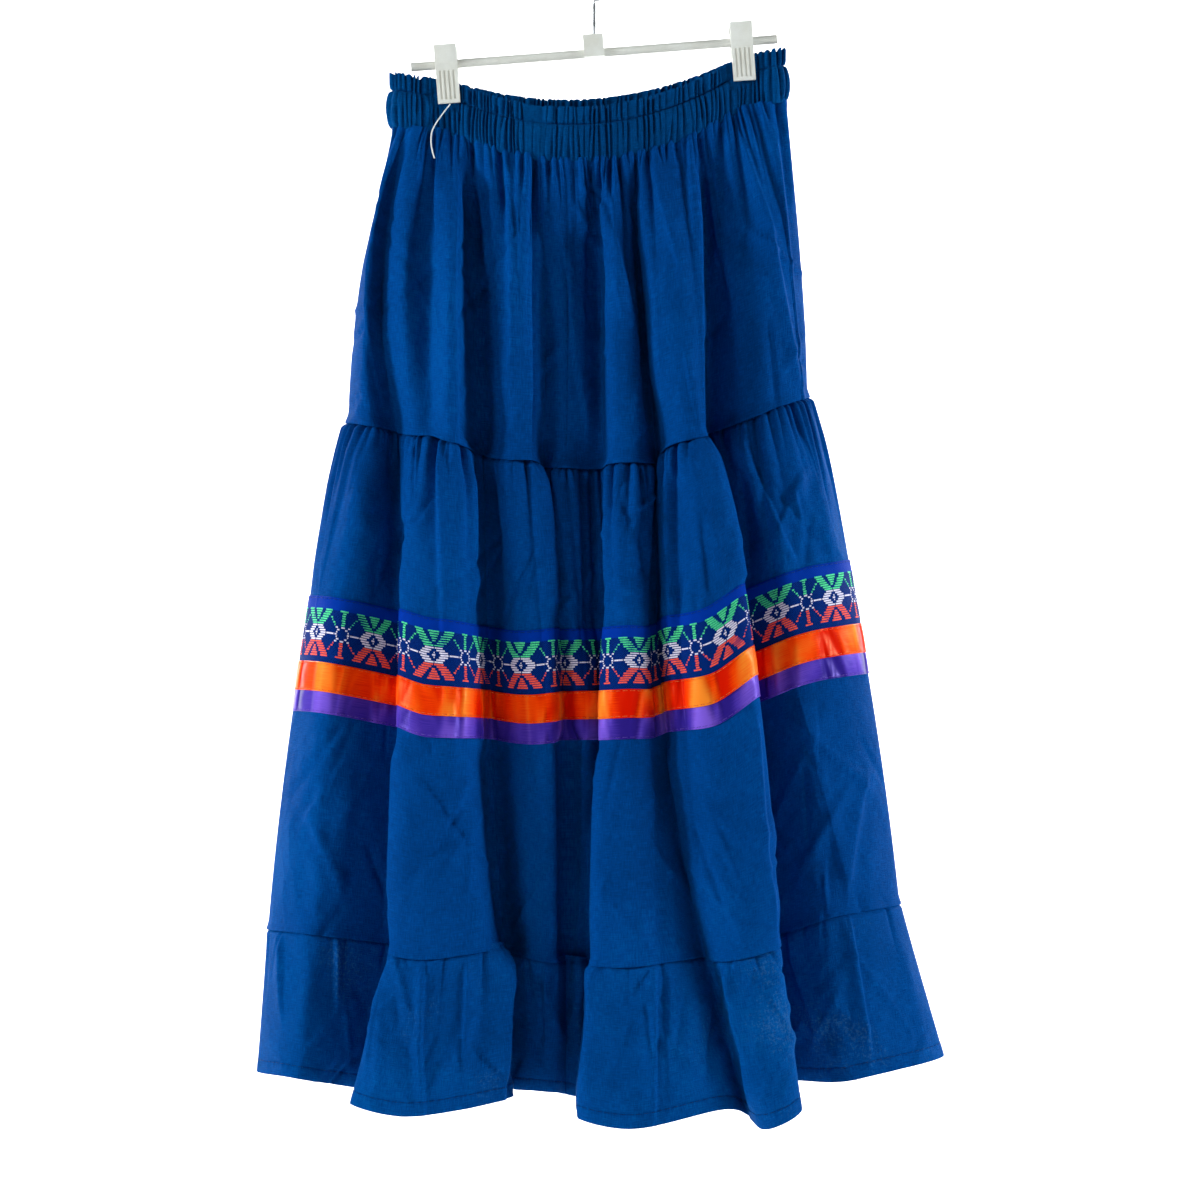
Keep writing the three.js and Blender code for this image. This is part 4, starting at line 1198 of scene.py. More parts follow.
@dataclass(frozen=True)
class Stitching:
    """A row of small stitches along a line.

    pitch is how far apart they start, ends where a stitch starts and ends within its pitch, long
    and thick its size, and spare what the row leaves free at the end of its line.
    """

    pitch: float
    ends: tuple[float, float]
    long: float
    thick: float
    spare: float = 2.0

    def sew(self, name: str, girth: float, at: Callable[[np.ndarray], np.ndarray]) -> bpy.types.Object:
        """Lays the stitches along a line.

        Args:
            name: Name of the piece.
            girth: Length of the line.
            at: Function that gives the line's points at distances along it.

        Returns:
            The new object.
        """
        starts = np.arange(0, girth - self.spare, self.pitch)
        start, end = (at(starts + step) for step in self.ends)
        bm = bmesh.new()
        bmesh.ops.create_uvsphere(bm, u_segments=4, v_segments=3, radius=0.5)
        repeat_geometry(bm, len(starts))
        mesh = meshed(name, bm)
        ball = vertex_places(mesh).reshape(len(starts), -1, 3)
        along = end - start
        along /= np.maximum(np.linalg.norm(along, axis=1, keepdims=True), 1e-9)
        side = np.cross(along, (0.0, 0.0, 1.0))
        side /= np.maximum(np.linalg.norm(side, axis=1, keepdims=True), 1e-9)
        over = np.cross(side, along)
        turned = (
            ball[..., 2:3] * along[:, None] * self.long
            + ball[..., 0:1] * side[:, None] * self.thick
            + ball[..., 1:2] * over[:, None] * self.thick
        )
        move_vertices(mesh, (start + end)[:, None] / 2 + turned)
        return placed(name, mesh)


HEM_STITCHING = Stitching(3.4, (0.4, 2.6), 2.4, 0.55, 3.0)
TRIM_STITCHING = Stitching(2.9, (0.3, 2.2), 2.1, 0.5)
HEADER_STITCHING = Stitching(3.0, (0.4, 2.2), 2.1, 0.55)


@dataclass(frozen=True)
class PanelCut:
    """How a tier's left and right panels are cut, in millimetres of flat cloth.

    seams names the fold lines at the left panel's two upright edges. even_at is the distance down
    the cloth at which the columns of faces are even.
    """

    name: str
    width: float
    tall: float
    seams: tuple[str, str]
    columns: tuple[int, int]
    even_at: float
    rests_on: tuple[str, ...]


UPPER_CUT = PanelCut("upper_tier", 580.0, 268.0, ("k_left_edge", "c_right_edge"), (560, 560), 200.0,
                     ("waistband_casing",))
MIDDLE_CUT = PanelCut("middle_tier", 940.0, 455.0, ("k_right_edge", "c_left_hollow"), (640, 700), 380.0,
                      ("upper_tier_left_cloth", "upper_tier_right_cloth"))
FLOUNCE_CUT = PanelCut("flounce", 1085.0, 149.0, ("m_hollow", "c_right_hollow"), (860, 880), 800.0,
                       ("middle_tier_left_cloth", "middle_tier_right_cloth"))

# Distances down each tier's own cloth of its rows: close in the gathers, wider below, and the last
# few run round its lower edge.
UPPER_ROWS = np.array([*np.linspace(-4, 44, 26), *np.linspace(47.5, 264, 55),
                       266, 267.4, 268.2, 268.4, 267.6, 264])
MIDDLE_ROWS = np.array([*np.linspace(-5, 60, 34), *np.linspace(63, 130, 22), *np.linspace(135, 452, 62),
                        454, 455.2, 455.9, 456, 455.2, 452])
FLOUNCE_ROWS = np.array([*np.linspace(-5, 9, 8), *np.linspace(12, 122, 24), 124, 124.7, 125.3, 126,
                         129, 132, 135, 136.4, 137, 137.1, 136.4, 133, 128, 125])
# How far the last rows stand out: a seam's turned edge, and the hem with its stitched groove.
UPPER_TURN = (2.2, 0.3, -0.5)
MIDDLE_TURN = (1.2, 0.0, -0.5)
HEM_TURN = (-0.1, -0.45, -0.1, 0.15, 0.25, 0.3, 0.3, 0.25, 0.0, -0.4, -0.6, -0.6, -0.6, -0.6)


@dataclass
class ClothTiers:
    """The three tiers of plain cotton, each cut as a left and a right panel."""

    form: HangingForm
    finishes: Finishes
    seam_turn: float = 1.1
    middle_swell: float = 5.0
    hem_turn: float = 12.0
    upper: Tier = field(init=False)
    middle: Tier = field(init=False)
    flounce: Tier = field(init=False)

    def __post_init__(self) -> None:
        """Gives each tier its gathers and creases."""
        self.upper = Tier(
            self.form, (0, 1, 2), 0.0,
            (Gathers(7.5, 5.5, 26, 11, 0.05), Gathers(16, 7.5, 95, 12, 0.05, widest=13.0)),
            UPPER_CREASES + loose_creases(31, 26, -190, -440, Side.BACK) + rumples(51, 55, -200, -450))
        self.middle = Tier(
            self.form, (2, 3, 4), UPPER_END,
            (Gathers(8.0, 5.5, 16, 21, 0.06, UPPER_END), Gathers(18, 9.0, 70, 22, 0.06, UPPER_END, 15.0)),
            MIDDLE_CREASES + loose_creases(32, 34, -450, -880, Side.BACK) + rumples(53, 110, -430, -890),
            swell=self.middle_swell, held_flat=(UPPER_END + 142, UPPER_END + 256))
        self.flounce = Tier(
            self.form, (4, 5), MIDDLE_END,
            (Gathers(26, 3.0, 26, 41, 0.07, MIDDLE_END, 9.0),),
            FLOUNCE_CREASES + loose_creases(33, 16, -890, -1030, Side.BACK, lengths=(40, 120))
            + rumples(55, 40, -880, -1030))

    def panels(self, cut: PanelCut, tier: Tier, rows: np.ndarray, lift: np.ndarray,
               material: bpy.types.Material) -> None:
        """Makes a tier's two panels, their upright edges turned into the seams.

        Args:
            cut: How they are cut.
            tier: The tier.
            rows: Distances down the cloth of its rows.
            lift: Millimetres outwards of each row.
            material: Their finish.
        """
        for half, ends, columns in zip(("left", "right"), (cut.seams, cut.seams[::-1]), cut.columns):
            start, end = (fold_place(line) for line in ends)
            end += ROUND if end <= start else 0
            u = even_places(tier, cut.even_at, start, end, columns + 1)
            share = np.linspace(0, 1, columns + 1)
            from_seam = np.minimum(share, 1 - share) * cut.width
            turned = -self.seam_turn * bell(from_seam / self.seam_turn)
            points = tier.cloth(u, rows, lift[:, None] + turned[None])
            uv = np.stack(np.broadcast_arrays(share[None] * cut.width * MM, -rows[:, None] * MM), 2)
            piece = cloth_mesh(f"{cut.name}_{half}_cloth", points, uv)
            declared(piece, material, (f"{cut.name}_{half}",))

    def build(self) -> None:
        """Makes the six panels and the stitching of the hem."""
        # The upper tier's lower edge stands proud of the seam.
        lift = 2.6 * bell((UPPER_ROWS - UPPER_END) / 5)
        lift[-len(UPPER_TURN):] = UPPER_TURN
        self.panels(UPPER_CUT, self.upper, UPPER_ROWS, lift, self.finishes.cotton)

        # The middle tier starts inside the upper one and stands proud of the next seam.
        rows = UPPER_END + MIDDLE_ROWS
        lift = 1.5 * bell((rows - MIDDLE_END) / 4)
        lift[-len(MIDDLE_TURN):] = MIDDLE_TURN
        lift = lift - 4.4 * bell(np.maximum(rows - UPPER_END, 0) / 2.6)
        self.panels(MIDDLE_CUT, self.middle, rows, lift, self.finishes.cotton)

        # The flounce starts inside the middle tier, at what is left there of that tier's swell.
        rows = MIDDLE_END + FLOUNCE_ROWS
        lift = -2.6 * bell(np.maximum(rows - MIDDLE_END, 0) / 2.4)
        lift[-len(HEM_TURN):] = HEM_TURN
        lift = lift + swollen(MIDDLE_END - UPPER_END, self.middle_swell)
        self.panels(FLOUNCE_CUT, self.flounce, rows, lift, self.finishes.hem_cotton)
        self.hem_stitches()

    def hem_stitches(self) -> None:
        """Sews the turned hem all round, 12 mm above its edge."""
        u = even_places(self.flounce, 850.0, 0.0, ROUND, 3200)
        line = self.flounce.cloth(u, np.array([HEM - self.hem_turn]), 0.15)[0]
        length = round_length(line)
        piece = HEM_STITCHING.sew("hem_stitches", float(length[-1]),
                                  lambda places: points_along(places, length, line))
        declared(piece, self.finishes.blue_thread)


# Right half of the upper half of the pattern, from its top row to its middle row: x is a bar of
# yarn. It is mirrored to the left and downwards.
STAR_CHART = (
    "xxxxxx.....xxxxxxxx........xxxx",
    "xxxxx.....xxxxxxxx...........xx",
    "xxxx....xxxxxxxxx............xx",
    "xxx....xxxxxxxx...xx.........xx",
    "xx...xxxxxxxxx......x........xx",
    "...xxxxxxxxx.........xx......xx",
    ".xxxxxxxxx.............x.....xx",
    ".xxxxxxxx...............xx...xx",
    "...xxxxxxxx...............xx...",
    "x....xxxxxxxx............x.....",
    "xx.....xxxxxxx.xxxxxxxx.xx.....",
)


@dataclass
class TrimBands:
    """The woven trim and the two satin ribbons sewn round the middle tier.

    start is the trim's upper edge from the tier's top, and woven, orange and purple are how tall
    each band shows. join_across and star_across are where the ribbons' join and the first star
    are seen from the front.
    """

    tiers: ClothTiers
    finishes: Finishes
    start: float = 148.0
    woven: float = 58.0
    orange: float = 25.0
    purple: float = 19.0
    measured_down: float = UPPER_END + 180
    join_down: float = UPPER_END + 215
    join_across: float = -94.5
    star_across: float = -226.8
    repeats: int = 28
    row_pitch: float = 2.0
    yarn_half: float = 0.7
    yarn_bulge: float = 0.5
    grid: PatchGrid = field(init=False)
    girth: float = field(init=False)

    def __post_init__(self) -> None:
        """Measures the cloth under the trims, once round from the ribbons' join."""
        tier = self.tiers.middle
        fine = np.linspace(4, 8, 400)
        seen = seen_from_front(tier.middle(fine, np.array([self.join_down])))[0][0]
        first = float(fine[int(np.argmin(np.abs(seen - self.join_across)))])
        u = even_places(tier, self.measured_down, first, first + ROUND, 2600)
        end = self.start + self.woven + self.orange + self.purple
        down = UPPER_END + np.arange(self.start - 4, end + 6, 2.0)
        self.grid = PatchGrid.of(tier, u, down, self.measured_down)
        self.girth = float(self.grid.s[-1])

    def ribbon(self, name: str, top: float, low: float, lift: float,
               columns: int = 1300) -> bpy.types.Object:
        """Makes one ribbon as a strip whose edges lie down on the cloth.

        Args:
            name: Name of the piece.
            top: Upper edge, from the tier's top.
            low: Lower edge.
            lift: How far it stands off the cloth.
            columns: How many columns of faces.

        Returns:
            The ribbon.
        """
        s = np.linspace(0, self.girth, columns + 1)
        tall = low - top
        across = np.array([0, 0, 0.7, 2.2, 6, tall / 2, tall - 6, tall - 2.2, tall - 0.7, tall, tall])
        height = lift + np.array([-0.75, -0.15, 0, -0.16, 0, 0.12, 0, -0.16, 0, -0.15, -0.75])
        ss, dd = np.meshgrid(s, across)
        # Its last 9 mm lap over its start.
        lap = 0.45 * eased((s - self.girth + 9) / 2)
        points = self.grid.at(ss, dd + UPPER_END + top, height[:, None] + lap[None])
        return cloth_mesh(name, points, np.stack([ss * MM, dd * MM], 2))

    def build(self) -> None:
        """Makes the trim, the ribbons, the pattern and the stitching."""
        woven_end = self.start + self.woven
        orange_end = woven_end + self.orange
        end = orange_end + self.purple
        wear = self.finishes
        cloth = ("middle_tier_left_cloth", "middle_tier_right_cloth")
        for name, top, low, lift, material, slot, node, flat, under in (
            ("woven_trim_band", self.start, woven_end + 2, 1.0,
             wear.twill, "woven_trim", "woven_band", (1.70, 0.060), cloth),
            ("purple_satin_ribbon", orange_end - 6, end, 0.95,
             wear.purple, "purple_satin", "purple_ribbon", (1.73, 0.025), cloth),
            ("orange_satin_ribbon", woven_end - 1, orange_end, 1.7,
             wear.orange, "orange_satin", "orange_ribbon", (1.72, 0.026),
             ("woven_trim_band", "purple_satin_ribbon")),
        ):
            piece = self.ribbon(name, top, low, lift)
            declared(piece, material, (node,))
        self.pattern()
        for name, down, lift, material in (
            ("trim_top_stitches", self.start + 1.6, 1.1, wear.blue_thread),
            ("orange_top_stitches", woven_end + 0.6, 1.75, wear.orange_thread),
            ("orange_low_stitches", orange_end - 1.6, 1.75, wear.orange_thread),
            ("purple_low_stitches", end - 1.7, 1.0, wear.violet_thread),
        ):
            piece = TRIM_STITCHING.sew(name, self.girth, self.line_at(UPPER_END + down, lift))
            declared(piece, material)

    def line_at(self, down: float, lift: float) -> Callable[[np.ndarray], np.ndarray]:
        """Line round the trims.

        Args:
            down: Distance down the cloth.
            lift: Millimetres off the cloth.

        Returns:
            A function that gives the line's points at distances along the cloth.
        """
        return lambda places: self.grid.at(places, np.full(len(places), down), lift)

    def pattern(self) -> None:
        """Weaves the star and leaf repeat as raised bars of coloured yarn.

        Each row of the chart is a row of thread bars; they are laid out flat once round, then
        moved onto the trim.
        """
        pitch = self.girth / self.repeats
        last_row = len(STAR_CHART) - 1
        bm = bmesh.new()
        for y in range(-last_row, last_row + 1):
            line = STAR_CHART[last_row - abs(y)]
            full = line[:0:-1] + line
            # Green yarn above, white across the middle and coral below.
            colour = 1 if abs(y) <= 3 else (0 if y > 0 else 2)
            for run in re.finditer("x+", full):
                self.yarn_bar(bm, run.span(), y, pitch, colour)
        template = list(bm.verts) + list(bm.edges) + list(bm.faces)
        for i in range(1, self.repeats):
            copy = bmesh.ops.duplicate(bm, geom=template)
            fresh = [item for item in copy["geom"] if isinstance(item, bmesh.types.BMVert)]
            bmesh.ops.translate(bm, verts=fresh, vec=(i * pitch, 0, 0))
        mesh = meshed("woven_pattern", bm)
        flat = vertex_places(mesh)
        along = (flat[:, 0] + self.pattern_shift(pitch)) % self.girth
        # The pattern's middle row lies 10.5 + 20.5 mm under the trim's upper edge.
        middle = UPPER_END + self.start + 31.0
        move_vertices(mesh, self.grid.at(along, middle - flat[:, 1], 1.12 + flat[:, 2]))
        piece = placed("woven_pattern_yarn", mesh)
        for material in (self.finishes.green_yarn, self.finishes.white_yarn, self.finishes.coral_yarn):
            mesh.materials.append(material)
        declared(piece, self.finishes.green_yarn)

    def yarn_bar(self, bm: bmesh.types.BMesh, run: tuple[int, int], y: int, pitch: float,
                 colour: int) -> None:
        """Lays out one flat bar of yarn with a raised middle.

        Args:
            bm: The bmesh that gets the bar.
            run: The chart's first column that it covers, and the first one after it.
            y: Its row, counted upwards from the pattern's middle.
            pitch: Length of one repeat.
            colour: Index of its yarn.
        """
        first, last = run
        half = len(STAR_CHART[0]) - 1
        unit = pitch / (2 * half)
        # Every other row is woven a little to the side.
        nudge = 0.2 if y % 2 else -0.2
        left = (first - half - 0.5 + nudge * (first > 0)) * unit
        right = (last - half - 0.5 + nudge * (last < 2 * half)) * unit
        segments = max(1, math.ceil((right - left) / 3.2))
        size = Matrix.Diagonal(((right - left) / 2, self.yarn_half, 1.0, 1.0))
        where = Matrix.Translation(((left + right) / 2, y * self.row_pitch, 0.0)) @ size
        made = bmesh.ops.create_grid(bm, x_segments=segments, y_segments=2, size=1.0, matrix=where)
        for vertex in made["verts"]:
            vertex.co.z = self.yarn_bulge if abs(vertex.co.y - y * self.row_pitch) < 0.2 else 0.0
        for face in {face for vertex in made["verts"] for face in vertex.link_faces}:
            face.material_index = colour

    def pattern_shift(self, pitch: float) -> float:
        """How far along the trim the first crossing lies, so that a star stands on the left face.

        Args:
            pitch: Length of one repeat.

        Returns:
            The distance in millimetres.
        """
        row = int(np.argmin(np.abs(self.grid.down - self.measured_down)))
        seen = seen_from_front(self.grid.points[row])[0]
        left_face = (self.grid.points[row][:, 1] < 0) & (seen < -170)
        column = int(np.argmin(np.where(left_face, np.abs(seen - self.star_across), 1e9)))
        return float(self.grid.s[column]) % pitch + pitch / 2


@dataclass
class Waistband:
    """The elastic casing: a folded ring of cotton with a stitched header that stands up in frills.

    header_at is the height of the header's stitching over the casing's lower edge. pitch is how far
    apart the gathers are. The plain patch is where the photo shows hardly any, with a seam across.
    fullness is how far the casing stands out away from the clips, groove how deep the stitching
    pinches it, and back_rise how much higher it stands behind. clip_half and clip_low are the half
    width and the height of what a clip presses flat. gathering is flat cloth to a length of ring.
    """

    form: HangingForm
    finishes: Finishes
    columns: int = 1600
    header_at: float = 34.0
    pitch: float = 4.7
    plain_patch: tuple[float, float] = (-62.0, -44.0)
    seam_across: float = -54.0
    back_rise: float = 9.0
    fullness: float = 4.0
    groove: float = 1.4
    clip_half: float = 10.5
    clip_low: float = 21.0
    gathering: float = 1.6
    seed: int = 7
    # Heights of the rows over the casing's lower edge, up its outside and down its inside.
    outer: tuple[float, ...] = (0, 0.5, 1.4, *np.linspace(3, 31, 13), 32.4, 33.4, 34.0, 34.6, 35.6,
                                *np.linspace(37, 47, 6), 48.2, 48.8)
    inner: tuple[float, ...] = (48.4, 46, 42, 38, 35, 34, 33, 26, 16, 6, 1.2, 0.2)

    def plan(self) -> np.ndarray:
        """Closed line of the casing's middle layer in plan, evenly spaced from the left end."""
        t = (1 - np.cos(np.linspace(0, math.pi, 1500))) / 2
        x = self.form.band_left + (self.form.band_right - self.form.band_left) * t
        front = np.stack([x, -self.form.band_out(x, np.array(True))], 1)
        back = np.stack([x, self.form.band_out(x, np.array(False))], 1)[::-1]
        line = np.concatenate([front, back[1:]])
        length = round_length(line)
        return points_along(np.linspace(0, length[-1], self.columns + 1), length, line)

    def outwards(self, line: np.ndarray) -> np.ndarray:
        """Directions out of the casing, in plan.

        Args:
            line: The casing's line in plan.

        Returns:
            Unit vectors in plan.
        """
        tangent = np.roll(line[:-1], -1, 0) - np.roll(line[:-1], 1, 0)
        tangent = np.concatenate([tangent, tangent[:1]])
        tangent /= np.linalg.norm(tangent, axis=1, keepdims=True)
        return np.stack([tangent[:, 1], -tangent[:, 0]], 1)

    def strength(self, x: np.ndarray, y: np.ndarray, clip: np.ndarray) -> np.ndarray:
        """How much of the gathers is left at the plain patch and under the clips.

        Args:
            x: Places across of the casing's columns.
            y: Their places in depth.
            clip: Share that a clip presses flat, by row and column.

        Returns:
            Shares, by row and column.
        """
        start, end = self.plain_patch
        plain = eased((x - start + 2) / 3) * eased((end + 2 - x) / 3) * (y < 0)
        return (1 - 0.85 * plain)[None] * (1 - 0.92 * clip)

    def relief(self, line: np.ndarray, s: np.ndarray, h: np.ndarray,
               is_outer: np.ndarray) -> tuple[np.ndarray, np.ndarray]:
        """Gives the casing its fullness, gathers, header and frills.

        Args:
            line: Its line in plan.
            s: Running length along that.
            h: Heights of its rows, as a column.
            is_outer: True for the rows of its outside, as a column.

        Returns:
            Millimetres outwards and heights, both by row and column.
        """
        x, y = line.T
        # The casing is full between its lower edge and the header's stitching, which pinches it.
        casing = np.sin(np.pi * np.clip(h / self.header_at, 0, 1)) ** 0.7
        pinched = bell((h - self.header_at) / 1.1)
        header = eased((h - self.header_at) / 5)
        folds = self.folds(s, float(s[-1]), h)
        clip = 1 - eased((np.abs(np.abs(x) - self.form.clip_x) - self.clip_half) / 2)
        clip = clip[None] * eased((h - self.clip_low) / 4)
        strength = self.strength(x, y, clip)
        by_clip = bell((np.abs(x) - self.form.clip_x - 6) / 18)
        bulge = 0.6 + self.fullness * (1 - by_clip)
        lift_out = 0.4 + bulge[None] * casing * (1 - header) + 0.3 * header - self.groove * pinched
        gathered = folds * (0.7 + 0.3 * eased(h / 6)) * (1 - 0.6 * pinched)
        waved = gathered * (1.0 + 0.35 * header)
        seam = -0.7 * bell((x - self.seam_across) / 0.7) * (y < 0)
        out = lift_out * (1 - 0.6 * clip) + waved * strength + seam[None] * (1 - header)
        within = (-0.5 - 0.5 * casing * (1 - header) + 0.75 * waved * strength * header
                  + 0.4 * waved * strength * (1 - header))

        # The header's upper edge and the casing's lower edge wave with the gathers.
        frill = 0.9 * header * np.clip(folds, -2.2, 1.2) * strength * eased((h - 42) / 6)
        frill = frill + 0.35 * folds * strength * (1 - eased(h / 5))
        t = np.clip((x + self.form.clip_x) / (2 * self.form.clip_x), 0, 1)
        taller = self.back_rise * 4 * t * (1 - t) * (y > 0)
        edge = self.form.band_edge(x, y < 0)
        up = edge[None] + 0.1 + h + frill + taller[None] * h / self.form.band_height
        return np.where(is_outer, out, within), up

    def build(self) -> None:
        """Makes the casing and its line of stitches."""
        line = self.plan()
        s = round_length(line)
        heights = np.array([*self.outer, *self.inner])[::-1]
        is_outer = (np.arange(len(heights)) < len(self.outer))[::-1]
        h = heights[:, None]
        push, up = self.relief(line, s, h, is_outer[:, None])
        normal = self.outwards(line)
        spread = line[None] + normal[None] * push[..., None]
        points = np.concatenate([spread, up[..., None]], 2)
        uv = np.stack(np.broadcast_arrays(s[None] * self.gathering * MM, h * MM), 2)
        piece = cloth_mesh("waistband_casing", points, uv, closed=True)
        declared(piece, self.finishes.casing, ("waistband",))
        sewn = int(np.argmin(np.abs(heights - self.header_at) + ~is_outer * 99))
        self.header_stitches(points[sewn] + np.pad(normal * 0.25, ((0, 0), (0, 1))), s)

    def header_stitches(self, line: np.ndarray, length: np.ndarray) -> None:
        """Sews the header along a line in the casing's groove.

        Args:
            line: Points of the line, in millimetres.
            length: Running length at each of them.
        """
        piece = HEADER_STITCHING.sew("header_stitches", float(length[-1]),
                                     lambda places: points_along(places, length, line))
        declared(piece, self.finishes.blue_thread)

    def folds(self, s: np.ndarray, girth: float, h: np.ndarray) -> np.ndarray:
        """Fine gathers of the elastic.

        Args:
            s: Places round the casing.
            girth: Length once round it.
            h: Heights over its lower edge, as a column.

        Returns:
            Millimetres outwards, by height and place.
        """
        rng = np.random.default_rng(self.seed)
        count = int(girth / self.pitch)
        steps = rng.lognormal(0.0, 0.32, count)
        centres = np.cumsum(steps) / steps.sum() * girth
        depths = rng.uniform(1.8, 4.4, count)
        leans = rng.normal(0.0, 0.05, count)
        shifts = rng.normal(0.0, 0.8, count)
        starts = rng.uniform(-60, 24, count)
        stops = starts + rng.uniform(30, 120, count)
        total = np.zeros((len(h), len(s)))
        for row, height in enumerate(h[:, 0]):
            moved = centres + leans * (height - 17) + shifts * eased((height - 30) / 8)
            span = eased((height - starts) / 7) * eased((stops - height) / 7)
            depth = depths * (0.4 + 0.6 * span)
            total[row] = 1.4 - puffed(s, np.maximum.accumulate(moved), depth, girth, 1.0, 9.0)
        return total


@dataclass
class Hanger:
    """The plain hanger: its bar, hook and two sprung clips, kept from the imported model."""

    finishes: Finishes
    sides: tuple[str, str] = ("left", "right")
    sharp_angle: float = 0.5
    softened: float = 0.22

    def build(self, nodes: dict[str, bpy.types.Object]) -> None:
        """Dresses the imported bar, hook and clips.

        Args:
            nodes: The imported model's objects by name.
        """
        worn = {"hanger_bar": self.finishes.plastic, "hanger_hook": self.finishes.steel}
        for side in self.sides:
            worn[f"clip_{side}_spring"] = self.finishes.steel
        for name, material in worn.items():
            nodes[name].data.materials.clear()
            nodes[name].data.materials.append(material)
            log.info("%s: dressed", name)
        for side in self.sides:
            for face in ("front", "back"):
                self.jaw(nodes[f"clip_{side}_{face}_jaw"])

    def jaw(self, node: bpy.types.Object) -> None:
        """Stands a moulded jaw with softened edges in for a packed one.

        Args:
            node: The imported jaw.
        """
        bm = bmesh.new()
        bm.from_mesh(node.data)
        bmesh.ops.remove_doubles(bm, verts=bm.verts, dist=1e-6)
        bmesh.ops.dissolve_limit(bm, angle_limit=math.radians(1), verts=bm.verts, edges=bm.edges)
        paired = [edge for edge in bm.edges if len(edge.link_faces) == 2]
        sharp = [edge for edge in paired if edge.calc_face_angle(0) > self.sharp_angle]
        bmesh.ops.bevel(bm, geom=sharp, offset=self.softened * MM, offset_type="OFFSET", segments=2,
                        profile=0.5, affect="EDGES", material=-1, clamp_overlap=True)
        name = f"{node.name}_moulded"
        piece = placed(name, meshed(name, bm, smooth=False))
        declared(piece, self.finishes.plastic, (node.name,))


@dataclass
class LooseThread:
    """The thread end that hangs from under the left clip."""

    finishes: Finishes
    diameter: float = 1.2
    route: tuple[tuple[float, float, float], ...] = (
        (-129, -6.2, -136.9), (-130.6, -6.5, -139), (-132.6, -6.8, -141.6),
        (-134.9, -7, -144.6), (-137.2, -7.2, -147.8), (-139.5, -7.4, -151),
        (-141.6, -7.7, -154.2), (-143.4, -8.1, -157.4), (-144.8, -8.8, -160.6),
        (-145.6, -9.7, -164), (-145.9, -10.8, -167.8), (-145.9, -12, -172),
        (-145.4, -13.2, -176.4), (-144.3, -14.5, -181.4), (-142.6, -15.8, -187.2),
    )

    def build(self) -> None:
        """Lays the thread along its route."""
        points = np.array(self.route) * MM
        curve = bpy.data.curves.new("loose_thread_end", "CURVE")
        curve.dimensions = "3D"
        curve.bevel_depth = self.diameter / 2 * MM
        curve.bevel_resolution = 3
        curve.use_fill_caps = True
        spline = curve.splines.new("POLY")
        spline.points.add(len(points) - 1)
        for point, place in zip(spline.points, points):
            point.co = (*place, 1.0)
        piece = placed("loose_thread_end", curve)
        declared(piece, self.finishes.white_thread, ("loose_thread",))


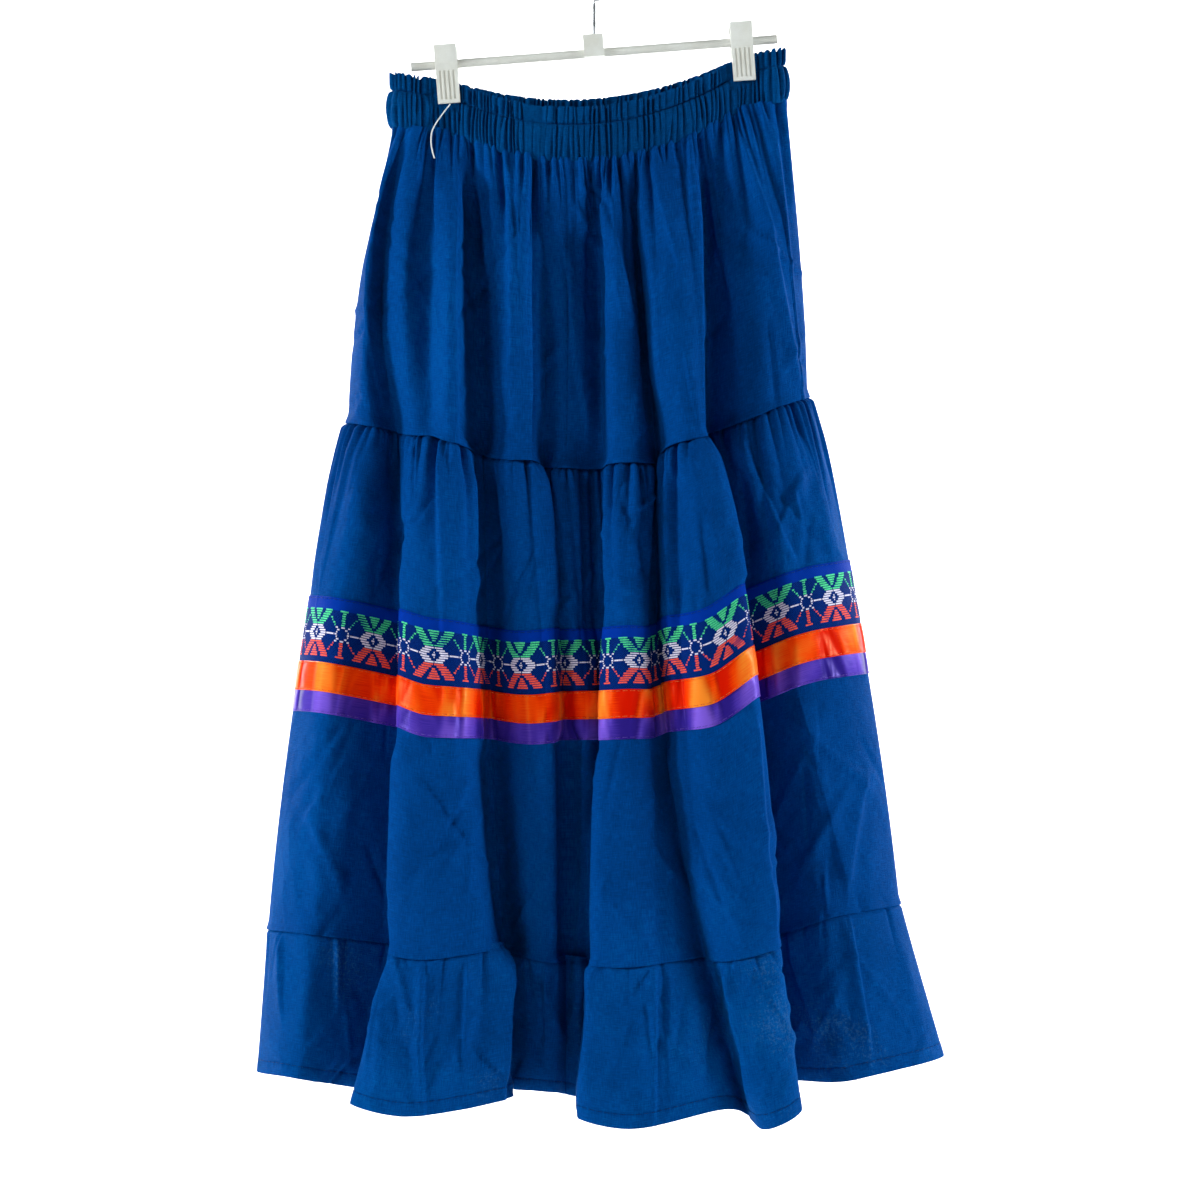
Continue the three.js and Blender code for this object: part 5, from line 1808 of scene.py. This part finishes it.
@dataclass
class Studio:
    """Pale paper sweep, soft lights and the camera that faces the skirt, in metres."""

    floor: float = -1.34
    wall: float = 2.7
    sweep: float = 0.6
    near_edge: float = -7.0
    wall_top: float = 4.5
    half_width: float = 6.0

    def camera(self) -> None:
        """Sets a level camera in front of the skirt's middle."""
        lens = bpy.data.cameras.new("front_camera")
        lens.sensor_width = 36.0
        lens.lens = 73.33
        lens.clip_end = 50.0
        eye = placed("front_camera", lens)
        eye.location = tuple(c * MM for c in EYE)
        eye.rotation_euler = (math.radians(90), 0, 0)
        bpy.context.scene.camera = eye

    def paper(self) -> None:
        """Lays the paper: flat floor, curved sweep and upright wall, extruded across."""
        left = -self.half_width
        bm = bmesh.new()
        near = bm.verts.new((left, self.near_edge, self.floor))
        far = bm.verts.new((left, self.wall - self.sweep, self.floor))
        bm.edges.new((near, far))
        bmesh.ops.spin(bm, geom=[far], cent=(left, self.wall - self.sweep, self.floor + self.sweep),
                       axis=(1, 0, 0), angle=math.radians(90), steps=16, use_duplicate=False)
        last = max(bm.verts, key=lambda vertex: (vertex.co.z, vertex.co.y))
        top = bm.verts.new((left, self.wall, self.wall_top))
        bm.edges.new((last, top))
        swept = bmesh.ops.extrude_edge_only(bm, edges=bm.edges[:])
        fresh = [item for item in swept["geom"] if isinstance(item, bmesh.types.BMVert)]
        bmesh.ops.translate(bm, verts=fresh, vec=(2 * self.half_width, 0, 0))
        bmesh.ops.recalc_face_normals(bm, faces=bm.faces)
        mesh = meshed("paper_sweep", bm)
        mesh.materials.append(StudioPaper("studio_paper", "F7F7F6").material())
        placed("paper_sweep", mesh)

    def light(self, name: str, place: tuple[float, float, float], aim: tuple[float, float, float],
              size: float, power: float, colour: str = "FFFFFF") -> None:
        """Hangs a soft square light.

        Args:
            name: Its name.
            place: Where it hangs.
            aim: The point that it faces.
            size: Its side.
            power: Its power, in watts.
            colour: Its colour.
        """
        lamp = bpy.data.lights.new(name, "AREA")
        lamp.shape = "SQUARE"
        lamp.size = size
        lamp.energy = power
        lamp.color = linear(colour)[:3]
        held = placed(name, lamp)
        held.location = place
        held.rotation_euler = (Vector(aim) - Vector(place)).to_track_quat("-Z", "Y").to_euler()

    def build(self) -> None:
        """Sets up paper, lights, air and the view transform."""
        self.paper()
        middle = (0.0, 0.0, -0.58)
        self.light("key_softbox", (-2.2, -2.1, 1.2), middle, 0.6, 27.0)
        self.light("left_strip", (-2.9, -0.9, 0.35), middle, 0.7, 80.0, "EEFAFF")
        self.light("right_strip", (3.0, -0.55, 0.35), middle, 0.7, 98.0, "EEFAFF")
        self.light("paper_left", (-2.0, 1.55, 0.5), (-0.4, 2.7, -0.6), 1.1, 108.0)
        self.light("paper_right", (2.0, 1.55, 0.5), (0.4, 2.7, -0.6), 1.1, 108.0)
        world = bpy.data.worlds.new("studio_air")
        world.use_nodes = True
        tree = world.node_tree
        tree.nodes.clear()
        air = add(tree, "Background", {"Color": linear("F4F6F8"), "Strength": 0.05})
        add(tree, "OutputWorld", {"Surface": air})
        bpy.context.scene.world = world
        bpy.context.scene.view_settings.view_transform = "Standard"


def main() -> None:
    """Builds the skirt, the hanger and the studio."""
    logging.basicConfig(level=logging.INFO, format="%(name)s: %(message)s")
    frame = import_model()
    studio = Studio()
    studio.camera()
    finishes = Finishes()
    form = HangingForm()
    LooseThread(finishes).build()
    Hanger(finishes).build(frame["nodes"])
    Waistband(form, finishes).build()
    tiers = ClothTiers(form, finishes)
    tiers.build()
    TrimBands(tiers, finishes).build()
    studio.build()


if __name__ == "__main__":
    main()
